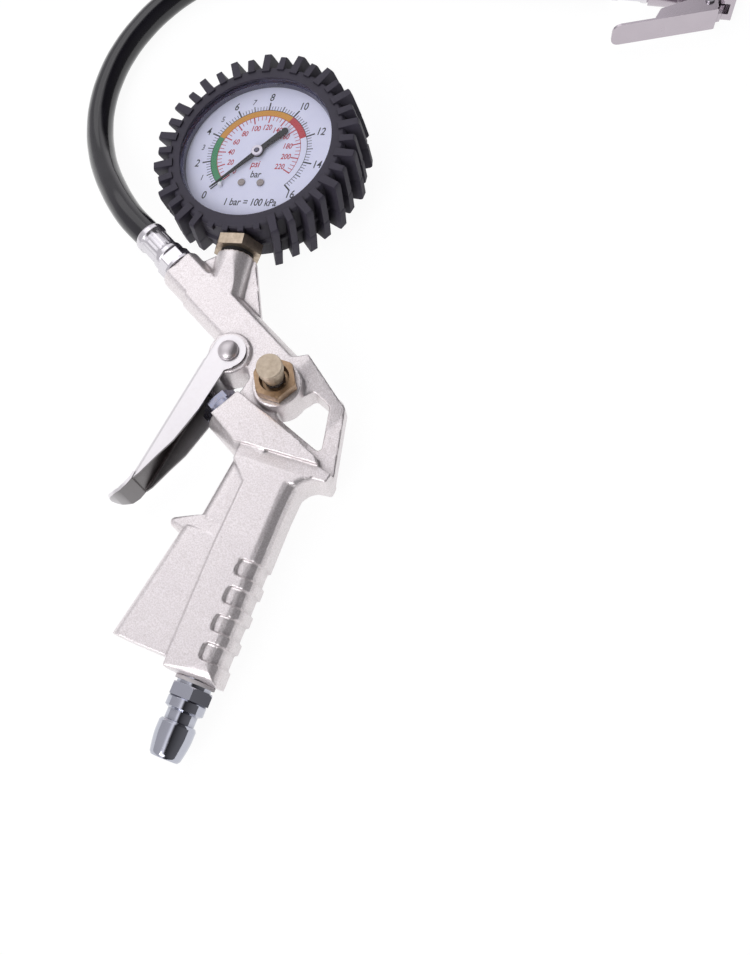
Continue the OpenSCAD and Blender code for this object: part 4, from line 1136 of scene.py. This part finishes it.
@dataclass
class Gauge(Assembly):
    """The dial gauge: case, rim, lens, printed dial, pointer and the works behind it."""

    zero_angle: float = 225.0
    degrees_per_bar: float = 16.875
    psi_per_bar: float = 14.5038
    last_bar: int = 16
    last_psi: int = 220
    dial_z: float = 3.2
    print_lift: float = 0.03
    rim_radius: float = 28.15
    pane_radius: float = 28.1
    pane_z: float = 6.7
    arc_sides: int = 480
    band_inner: float = 15.7
    band_outer: float = 18.0
    hub_widening: float = 1.22
    rim_width: float = 1.05
    rim_height: float = 1.35
    crown: float = 0.5
    crown_steps: int = 8

    # The print: how far out the strokes end and the numbers stand, how wide the strokes are, how
    # high the letters are, and how narrow and slanted.
    major_tip: float = 21.2
    medium_tip: float = 20.2
    minor_tip: float = 19.7
    number_radius: float = 23.3
    small_radius: float = 22.2
    psi_radius: float = 10.7
    bold: float = 0.55
    half_bold: float = 0.36
    fine: float = 0.22
    number_cap: float = 3.0
    small_cap: float = 2.2
    psi_cap: float = 2.15
    unit_cap: float = 2.7
    squeeze: float = 0.78
    slant: float = 0.18

    def build(self) -> None:
        """Builds the gauge from its case outwards."""
        self.soften("gauge_case", "gauge_shell", Look.DARK_STEEL, 0.15)
        self.soften("gauge_socket", "stem_hexagon", Look.STEM_BRASS, 0.25)
        self.rim()
        self.lens()
        self.scale()
        self.pointer()
        self.keep(Look.DIAL, "dial_face")
        self.keep(Look.SEAL, "gauge_washer")
        self.keep(Look.CLOCK_BRASS, "sector_gear", "movement_frame", "bourdon_tube")
        self.keep(Look.DARK_STEEL, "pointer_spindle")

    def rim(self) -> None:
        """Builds the dark ring between the boot's lip and the dial."""
        low, high = self.dial_z + 0.2, self.pane_z + self.rim_height
        inner, outer = self.rim_radius, self.rim_radius + self.rim_width
        section = [
            (outer, low),
            (outer, high - 0.3),
            (outer - 0.3, high),
            (inner + 0.35, high),
            (inner, high - 0.35),
            (inner - 0.5, low),
        ]
        ring = lathe("gauge_rim", section, 160, hollow=True)
        self.dress(ring, Look.DARK_STEEL, "gun", ["gauge_bezel"], self.layout.gauge, 40.0)

    def lens(self) -> None:
        """Builds the clear pane over the dial, as a sheet with a slight crown."""
        shares = [step / self.crown_steps for step in range(self.crown_steps, 0, -1)]
        profile = [
            (0.3, self.pane_z - 1.2),
            (self.pane_radius, self.pane_z - 1.2),
            *[
                (self.pane_radius * share, self.pane_z + self.crown * (1 - share**2))
                for share in shares
            ],
            (0.3, self.pane_z + self.crown),
        ]
        pane = lathe("gauge_pane", profile, 128)
        self.dress(pane, Look.CLEAR, "gun", ["gauge_lens"], self.layout.gauge, 40.0)

    def bar_angle(self, bar: float) -> float:
        """Returns the dial angle of a pressure in bar, in degrees from +x."""
        return self.zero_angle - self.degrees_per_bar * bar

    def print_place(self) -> Place:
        """Returns the plane of the dial's print."""
        return self.layout.gauge.shifted(z=self.dial_z + self.print_lift)

    def words(self, text: str, x: float, y: float, cap: float) -> bpy.types.Object:
        """Returns words printed at a point of the dial."""
        place = self.print_place().shifted(x, y)
        return lettering(text, cap, self.squeeze, self.slant, place)

    def round_words(self, text: str, bar: float, radius: float, cap: float) -> bpy.types.Object:
        """Returns words printed at a pressure's angle and a radius of the dial."""
        angle = math.radians(self.bar_angle(bar))
        return self.words(text, radius * math.cos(angle), radius * math.sin(angle), cap)

    def ticks(
        self, name: str, bars: Sequence[float], inner: float, outer: float, width: float
    ) -> bpy.types.Object:
        """Returns a row of thin printed strokes.

        Args:
            name: the row's name.
            bars: pressures of the strokes, in bar.
            inner: radius of their inner ends, in millimetres.
            outer: radius of their outer ends.
            width: their width.
        """
        stroke = primitive(
            name,
            bpy.ops.mesh.primitive_cube_add,
            size=1,
            location=((inner + outer) / 2 * MM, 0, 0),
            scale=((outer - inner) * MM, width * MM, PRINT_THICKNESS * MM),
        )
        places = [self.print_place().turned(self.bar_angle(bar)) for bar in bars]
        return repeated(name, stroke, places)

    def arc(
        self, name: str, inner: float, outer: float, first: float, last: float
    ) -> bpy.types.Object:
        """Returns a flat printed arc between two pressures.

        Args:
            name: the piece's name.
            inner: its inner radius, in millimetres.
            outer: its outer radius.
            first: pressure at its start, in bar.
            last: pressure at its end.
        """
        low, high = self.bar_angle(last), self.bar_angle(first)
        piece = primitive(
            name,
            bpy.ops.mesh.primitive_circle_add,
            vertices=self.arc_sides,
            radius=inner * MM,
            fill_type="NOTHING",
        )
        with editing(piece, Element.EDGE):
            bpy.ops.mesh.select_all(action="SELECT")
            extrude_ring(inner, outer, 0, 0)
        with editing(piece):

            def outside(middle: Vector, _normal: Vector) -> bool:
                angle = math.degrees(math.atan2(middle.y, middle.x))
                return not any(low < angle + full < high for full in (0, 360))

            choose_faces(piece, outside)
            bpy.ops.mesh.delete(type="FACE")
        modify(piece, "SOLIDIFY", thickness=PRINT_THICKNESS * MM, offset=0.0)
        tidy_normals(piece)
        piece.data.transform(self.print_place().matrix)
        return piece

    def scale(self) -> None:
        """Prints the scales, the coloured band and the words on the dial."""
        bars = range(0, self.last_bar + 1)
        fifths = [step / 5 for step in range(0, 5 * self.last_bar + 1) if step % 5]
        even = [bar for bar in bars if bar % 2 == 0]
        odd = [bar for bar in bars if bar % 2]
        edge = self.band_outer
        black = [
            self.ticks("major", even, edge, self.major_tip, self.bold),
            self.ticks("medium", odd, edge, self.medium_tip, self.half_bold),
            self.arc("rim_line", edge - 0.08, edge + 0.12, 0, self.last_bar),
        ]
        black += [
            self.round_words(str(bar), bar, self.number_radius, self.number_cap)
            for bar in even[1:-1]
        ]
        black += [
            self.words("0", -17.0, -17.6, self.number_cap),
            self.words("16", 15.4, -16.6, self.number_cap),
            self.words("bar", 0.9, -8.8, self.unit_cap),
            self.words("1 bar = 100 kPa", 1.2, -20.1, 2.8),
        ]
        self.dress(join("dial_print_black", black), Look.INK_BLACK, angle=None)
        grey = [self.ticks("minor", fifths, edge, self.minor_tip, self.fine)]
        grey += [
            self.round_words(str(bar), bar, self.small_radius, self.small_cap) for bar in odd[:4]
        ]
        self.dress(join("dial_print_grey", grey), Look.INK_GREY, angle=None)
        self.psi_scale()
        for name, look, first, last in (
            ("dial_band_low", Look.BAND_GREEN, 0, 4),
            ("dial_band_middle", Look.BAND_AMBER, 4, 10),
            ("dial_band_high", Look.BAND_RED, 10, 12),
        ):
            band = self.arc(name, self.band_inner, edge - 0.08, first, last)
            self.dress(band, look, angle=None)

    def psi_scale(self) -> None:
        """Prints the inner scale in pounds per square inch."""
        marks = range(0, self.last_psi + 1, 20)
        between = [psi for psi in range(0, self.last_psi, 5) if psi % 20]
        edge, per_bar = self.band_inner, self.psi_per_bar
        red = [
            self.ticks("psi_major", [p / per_bar for p in marks], edge - 3.0, edge, 0.45),
            self.ticks("psi_minor", [p / per_bar for p in between], edge - 1.9, edge, self.fine),
            self.arc("psi_line", edge - 0.2, edge, 0, self.last_psi / per_bar),
            self.words("psi", -0.2, -4.6, self.unit_cap),
        ]
        red += [
            self.round_words(str(psi), psi / per_bar, self.psi_radius, self.psi_cap)
            for psi in marks
        ]
        self.dress(join("dial_print_red", red), Look.INK_RED, angle=None)

    def pointer(self) -> None:
        """Builds the pointer, its hub, the stop pin and the dial's screws."""
        self.soften("pointer", "needle", Look.BLACK, 0.12, "needle")
        hub = merged_copy(self.frame, "pointer_hub", "needle_hub")
        middle = self.layout.gauge.matrix
        widened = Matrix.Diagonal((self.hub_widening, self.hub_widening, 1, 1))
        hub.data.transform(middle @ widened @ middle.inverted())
        bevel(hub, 0.22)
        self.dress(hub, Look.RIVET, "needle", ["pointer_hub"], weigh=True)
        self.soften("stop_pin", "zero_stop", Look.WHITE, 0.2)
        self.soften("dial_screws", "dial_screw_heads", Look.SCREW, 0.15)


@dataclass
class Boot(Assembly):
    """The moulded rubber boot with its tread."""

    window: float = 28.1
    case: float = 30.55
    wall: float = 33.0
    tip: float = 38.5
    front: float = 8.4
    back: float = -11.0
    back_opening: float = 24.0
    rib: tuple[float, float] = (-3.4, -2.0)
    blocks: int = 36
    first_angle: float = 94.5
    bare: float = 17.0
    drop: float = 1.3
    slant: float = -6.6
    rib_height: float = 0.9
    ledge: float = 1.2
    back_wall: float = 1.45
    stem_hole: float = 5.0
    sink: float = 0.5
    nub_size: tuple[float, float, float] = (3.0, 2.8, 2.8)

    def build(self) -> None:
        """Builds the boot's wall, its tall and short tread blocks and the nubs over the stem."""
        pieces = [self.shell()]
        pitch = 360 / self.blocks
        angles = [self.first_angle + i * pitch for i in range(self.blocks)]
        over_stem = [a for a in angles if abs(a - 270) < self.bare]
        origin = Place(Matrix.Identity(4))
        for index, tall in enumerate((True, False)):
            turned = [a for i, a in enumerate(angles) if i % 2 == index and a not in over_stem]
            places = [origin.turned(angle) for angle in turned]
            pieces.append(repeated("tread", self.block(tall), places))
        pieces.append(repeated("nubs", self.nub(), [origin.turned(a) for a in over_stem]))
        boot = join("tread_boot", pieces)
        self.dress(boot, Look.TREAD, "gun", ["gauge_boot"], self.layout.gauge, 35.0, weigh=True)

    def shell(self) -> bpy.types.Object:
        """Returns the boot's wall, with its lip, its middle rib and the hole for the stem."""
        lip = self.wall - 0.8
        ridge = self.wall + self.rib_height
        low, high = self.rib
        section = [
            (self.window, self.front - self.ledge),
            (self.window, self.front - 0.35),
            (self.window + 0.12, self.front - 0.1),
            (self.window + 0.4, self.front),
            (lip - 0.3, self.front),
            (lip + 0.2, self.front - 0.25),
            (self.wall, self.front - 1.1),
            (self.wall, high + 0.8),
            (ridge - 0.15, high + 0.1),
            (ridge, high - 0.2),
            (ridge, low + 0.2),
            (ridge - 0.15, low - 0.1),
            (self.wall, low - 0.8),
            (self.wall, self.back + 0.9),
            (self.wall - 0.3, self.back + 0.2),
            (self.wall - 0.9, self.back),
            (self.back_opening + 0.3, self.back),
            (self.back_opening, self.back + 0.3),
            (self.back_opening, self.back + self.back_wall),
            (self.case, self.back + self.back_wall),
            (self.case, self.front - self.ledge),
        ]
        ring = lathe("wall", section, 144, hollow=True)
        drill = primitive(
            "stem_hole",
            bpy.ops.mesh.primitive_cylinder_add,
            vertices=48,
            radius=self.stem_hole * MM,
            depth=20 * MM,
            location=(0, -self.wall * MM, 0),
            rotation=(math.pi / 2, 0, 0),
        )
        cut(ring, drill)
        return ring

    def block(self, tall: bool) -> bpy.types.Object:
        """Returns one tread block at the angle 0, from the boot's back to a nub on its lip.

        Args:
            tall: whether it is one of the tall blocks.
        """
        tip = self.tip if tall else self.tip - self.drop
        base = self.wall - self.sink
        nub = self.window + (2.3 if tall else 2.9)
        foot, top = (1.65, 1.4) if tall else (1.45, 1.25)
        low, high = self.rib
        stations = [
            (self.back + 0.1, self.slant, base, tip - 0.9, 1.8, 1.3),
            (self.back + 0.8, self.slant + 0.2, base, tip, 1.8, 1.4),
            (low, self.slant + 3.0, base, tip, 1.8, 1.35),
            (low + 0.5, self.slant + 3.1, base, tip - 0.25, 1.65, 1.2),
            (high - 0.5, self.slant + 3.3, base, tip - 0.25, 1.6, 1.15),
            (high + 0.6, self.slant + 3.5, base, tip, 1.6, 1.2),
            (self.front - 1.9, -0.4, base - 0.3, tip - 0.35, foot, top),
            (self.front - 0.6, 0.0, nub + 0.1, tip - 0.4, foot, top),
            (self.front + 0.65, 0.0, nub + 0.2, tip - 0.8, foot - 0.1, top - 0.1),
        ]
        rings = []
        for z, turn, inner, outer, wide, slim in stations:
            flat = Place(Matrix.Identity(4)).turned(turn)
            corners = ((inner, -wide), (outer, -slim), (outer, slim), (inner, wide))
            rings.append([flat.point(x, y, z) for x, y in corners])
        piece = loft("block", rings)
        bevel(piece, 0.2, 35.0)
        return piece

    def nub(self) -> bpy.types.Object:
        """Returns a short block on the lip over the stem, where the tread is left out."""
        piece = primitive(
            "nub",
            bpy.ops.mesh.primitive_cube_add,
            size=1,
            location=((self.wall - 0.3) * MM, 0, (self.front - self.nub_size[2] / 2) * MM),
            scale=[side * MM for side in self.nub_size],
        )
        with editing(piece):
            choose_faces(piece, lambda middle, normal: normal.x > 0.9)
            bpy.ops.transform.resize(value=(1, 0.8, 0.7))
        bevel(piece, 0.3, 35.0)
        return piece


@dataclass
class InletPlug(Assembly):
    """The male quick plug below the grip, with its sealing ring."""

    def build(self) -> None:
        """Builds the plug."""
        self.soften("inlet_plug", "quick_plug", Look.CHROME, 0.2)
        self.soften("inlet_seal", "thread_seal", Look.TAPE, 0.2)


@dataclass
class Hose(Assembly):
    """The short rubber hose with its crimped ferrules and the fitting in the gun's port."""

    radius: float = 5.1
    gun_end: float = 51.35
    gun_mouth: float = 59.15
    chuck_end: float = 35.65
    chuck_mouth: float = 43.45
    ferrule_radius: float = 5.8
    ferrule_length: float = 13.4
    ferrule_from: float = 45.75
    chuck_from: float = 30.05
    collar: float = 2.4
    press: float = 0.28
    flats: int = 8
    flats_turn: float = 12.0
    fit_gap: float = 0.05

    # Route of the hose's centre line: it leaves the port, comes down to the floor
    # in a wide curve beside the gauge and runs on to the chuck.
    middle: Sequence[tuple[float, float, float]] = (
        (-51.8, 46.3, 14.2),
        (-58.9, 51.4, 13.1),
        (-66.2, 57.7, 11.2),
        (-73.4, 64.8, 8.9),
        (-79.9, 72.7, 6.9),
        (-86.5, 83.4, 5.5),
        (-91.0, 95.0, 5.2),
        (-93.4, 108.0, 5.2),
        (-93.6, 120.0, 5.2),
        (-91.6, 132.5, 5.2),
        (-87.4, 145.0, 5.2),
        (-81.0, 156.5, 5.2),
        (-73.0, 166.0, 5.2),
        (-63.5, 173.5, 5.2),
        (-53.0, 178.6, 5.2),
        (-41.0, 181.8, 5.2),
        (-24.0, 184.4, 5.2),
        (-4.0, 187.0, 5.3),
        (16.0, 189.6, 5.5),
        (36.0, 192.2, 6.0),
        (56.0, 194.8, 6.4),
    )

    def route(self) -> list[Vector]:
        """Returns the points of the hose's centre line, in metres."""
        port = self.layout.barrel
        chuck = self.layout.chuck
        return [
            port.point(0, 0, -self.gun_end),
            port.point(0, 0, -self.gun_mouth),
            *[Vector(point) * MM for point in self.middle],
            chuck.point(-self.chuck_mouth - 2, 0),
            chuck.point(-self.chuck_end, 0),
        ]

    def build(self) -> None:
        """Builds the hose and its metal ends."""
        route = self.route()
        curve = bpy.data.curves.new("hose_line", "CURVE")
        curve.dimensions = "3D"
        curve.bevel_depth = self.radius * MM
        curve.bevel_resolution = 8
        curve.resolution_u = 10
        curve.use_fill_caps = True
        spline = curve.splines.new("BEZIER")
        spline.bezier_points.add(len(route) - 1)
        for knot, point in zip(spline.bezier_points, route, strict=True):
            knot.co = point
            knot.handle_left_type = knot.handle_right_type = "AUTO"
        hose = bpy.data.objects.new("hose_line", curve)
        bpy.context.scene.collection.objects.link(hose)
        curve.materials.append(self.finishes.get(Look.HOSE))
        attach(hose, "gun")
        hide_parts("hose")
        port = self.layout.barrel.turned(180, "X").shifted(z=self.ferrule_from)
        self.dress(self.ferrule("gun_crimp"), Look.NICKEL, "gun", ["gun_ferrule"], port, 40.0)
        ending = self.layout.chuck.turned(-90, "Y").shifted(z=self.chuck_from)
        chuck_crimp = self.ferrule("chuck_crimp")
        self.dress(chuck_crimp, Look.NICKEL, "gun", ["chuck_ferrule"], ending, 40.0)
        self.soften("hose_fitting", "hose_hexagon", Look.NICKEL, 0.3)
        self.keep(Look.NICKEL, "port_washer")
        Chuck(self.frame, self.layout, self.finishes).build()
        self.length()
        LOG.info("hose: %.1f mm", self.length() / MM)

    def ferrule(self, name: str) -> bpy.types.Object:
        """Returns a crimped ferrule along z, from its collar to its open mouth.

        Args:
            name: the piece's name.
        """
        outer, lip, length = self.ferrule_radius, self.collar, self.ferrule_length
        bore, neck = self.radius + self.fit_gap, self.radius - 1.3
        pressed = outer - self.press
        section = [
            (neck, 0.0),
            (outer - 0.45, 0.0),
            (outer - 0.1, 0.35),
            (outer, 0.8),
            (outer, lip - 0.5),
            (outer - 0.05, lip),
            *[(pressed, lip + 0.7 + (length - 2 * lip - 1.4) * i / 4) for i in range(5)],
            (outer - 0.05, length - lip),
            (outer, length - lip + 0.5),
            (outer, length - 0.7),
            (outer - 0.12, length - 0.2),
            (outer - 0.3, length),
            (bore + 0.1, length),
            (bore, length - 0.3),
            (bore, 1.0),
            (neck, 1.0),
        ]
        piece = lathe(name, section, 80, hollow=True)
        crimp(piece, lip + 0.3, length - lip - 0.3, self.flats, self.flats_turn)
        return piece

    def length(self) -> float:
        """Returns the hose's length along its route, in metres."""
        route = self.route()
        return sum((b - a).length for a, b in zip(route, route[1:], strict=False))


@dataclass
class Chuck(Assembly):
    """The clip-on chuck at the hose's end."""

    def build(self) -> None:
        """Builds the chuck's body and its clip lever."""
        self.soften("chuck_body", "chuck_barrel", Look.CHUCK, 0.3)
        self.soften("chuck_lever", "chuck_clip", Look.CHUCK, 0.15, "clip")
        self.keep(Look.STEEL, "chuck_pin", "chuck_spring")
        self.keep(Look.SEAL, "chuck_gasket")
        self.keep(Look.CLOCK_BRASS, "chuck_depressor")


# ------------------------------------------------------------------------------------------ studio


@dataclass
class Studio:
    """The pale floor, the soft lamps and the camera."""

    eye: tuple[float, float, float] = (129.47, -119.03, 333.99)
    turn: tuple[float, float, float] = (20.82, 8.468, 22.483)
    lens: float = 40.84
    shift: tuple[float, float] = (0.0904, -0.0095)
    floor_size: float = 6.0
    whiteness: float = 0.89
    glow: float = 1.06
    floor_colour: Colour = (0.9, 0.9, 0.92, 1.0)

    # Name, place and side in metres, and power in watts, of each lamp.
    lamps: Sequence[tuple[str, tuple[float, float, float], float, float]] = (
        ("key", (-1.5, 1.1, 2.2), 2.0, 9.0),
        ("fill", (-0.3, -1.9, 1.7), 1.4, 23.0),
    )

    # Brightness of the room from its left side, at 0, to its right side, at 1.
    room: Profile = (
        (0.0, 0.65),
        (0.27, 0.7),
        (0.33, 0.9),
        (0.39, 1.3),
        (0.45, 1.2),
        (0.5, 0.3),
        (0.55, 0.03),
        (1.0, 0.2),
    )
    room_tint: tuple[float, float, float] = (1.0, 0.985, 1.02)
    room_level: float = 0.9

    def build(self) -> None:
        """Builds the whole studio."""
        self.floor()
        self.world()
        self.lights()
        self.camera()
        bpy.context.scene.view_settings.view_transform = "Standard"

    def floor(self) -> None:
        """Lays a wide pale floor at height 0."""
        adder = bpy.ops.mesh.primitive_plane_add
        floor = primitive("studio_floor", adder, size=self.floor_size, location=(0, 0, 0))
        paint = Paint("studio_floor")
        matt = paint.node("ShaderNodeBsdfDiffuse", sockets={"Color": self.floor_colour})
        white = paint.node("ShaderNodeEmission", sockets={"Color": WHITE, "Strength": self.glow})
        seen = [
            paint.node("ShaderNodeLightPath", output=ray)
            for ray in ("Is Camera Ray", "Is Glossy Ray", "Is Transmission Ray")
        ]
        share = (seen[0] + seen[1] + seen[2]).clamped() * self.whiteness
        mixed = paint.node("ShaderNodeMixShader", sockets={0: share, 1: matt, 2: white})
        floor.data.materials.append(paint.output(mixed))

    def world(self) -> None:
        """Gives the room a pale side on the left and a dark one on the right."""
        world = bpy.data.worlds.new("studio")
        bpy.context.scene.world = world
        world.use_nodes = True
        tree = world.node_tree
        background = tree.nodes["Background"]
        coordinates = tree.nodes.new("ShaderNodeTexCoord")
        split = tree.nodes.new("ShaderNodeSeparateXYZ")
        ramp = tree.nodes.new("ShaderNodeValToRGB")
        side = tree.nodes.new("ShaderNodeMath")
        side.operation = "MULTIPLY_ADD"
        side.inputs[1].default_value = side.inputs[2].default_value = 0.5
        elements = ramp.color_ramp.elements
        while len(elements) < len(self.room):
            elements.new(0.5)
        for element, (position, level) in zip(elements, self.room, strict=True):
            element.position = position
            element.color = (*[level * part for part in self.room_tint], 1)
        tree.links.new(coordinates.outputs["Generated"], split.inputs[0])
        tree.links.new(split.outputs["X"], side.inputs[0])
        tree.links.new(side.outputs[0], ramp.inputs[0])
        tree.links.new(ramp.outputs[0], background.inputs["Color"])
        background.inputs["Strength"].default_value = self.room_level

    def lights(self) -> None:
        """Hangs the square lamps, each turned to the object."""
        for name, at, size, energy in self.lamps:
            lamp = bpy.data.lights.new(name, "AREA")
            lamp.size = size
            lamp.energy = energy
            holder = bpy.data.objects.new(name, lamp)
            bpy.context.scene.collection.objects.link(holder)
            holder.location = at
            holder.rotation_euler = (-Vector(at)).to_track_quat("-Z", "Y").to_euler()

    def camera(self) -> None:
        """Sets the camera at the viewing angle."""
        data = bpy.data.cameras.new("camera")
        data.lens = self.lens
        data.shift_x, data.shift_y = self.shift
        camera = bpy.data.objects.new("camera", data)
        bpy.context.scene.collection.objects.link(camera)
        camera.location = Vector(self.eye) * MM
        camera.rotation_euler = [math.radians(angle) for angle in self.turn]
        bpy.context.scene.camera = camera


def main() -> None:
    """Builds the studio, and the object's pieces over the frame in order."""
    logging.basicConfig(level=logging.INFO, format="%(name)s: %(message)s")
    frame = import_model()
    Studio().build()
    common = (frame, Layout.from_frame(frame), Finishes())
    for assembly in (Hose, Casting, Trigger, Valve, BleedValve, InletPlug, Gauge, Boot):
        assembly(*common).build()
        LOG.info("%s done", assembly.__name__)
    bpy.ops.object.select_all(action="DESELECT")


if __name__ == "__main__":
    main()
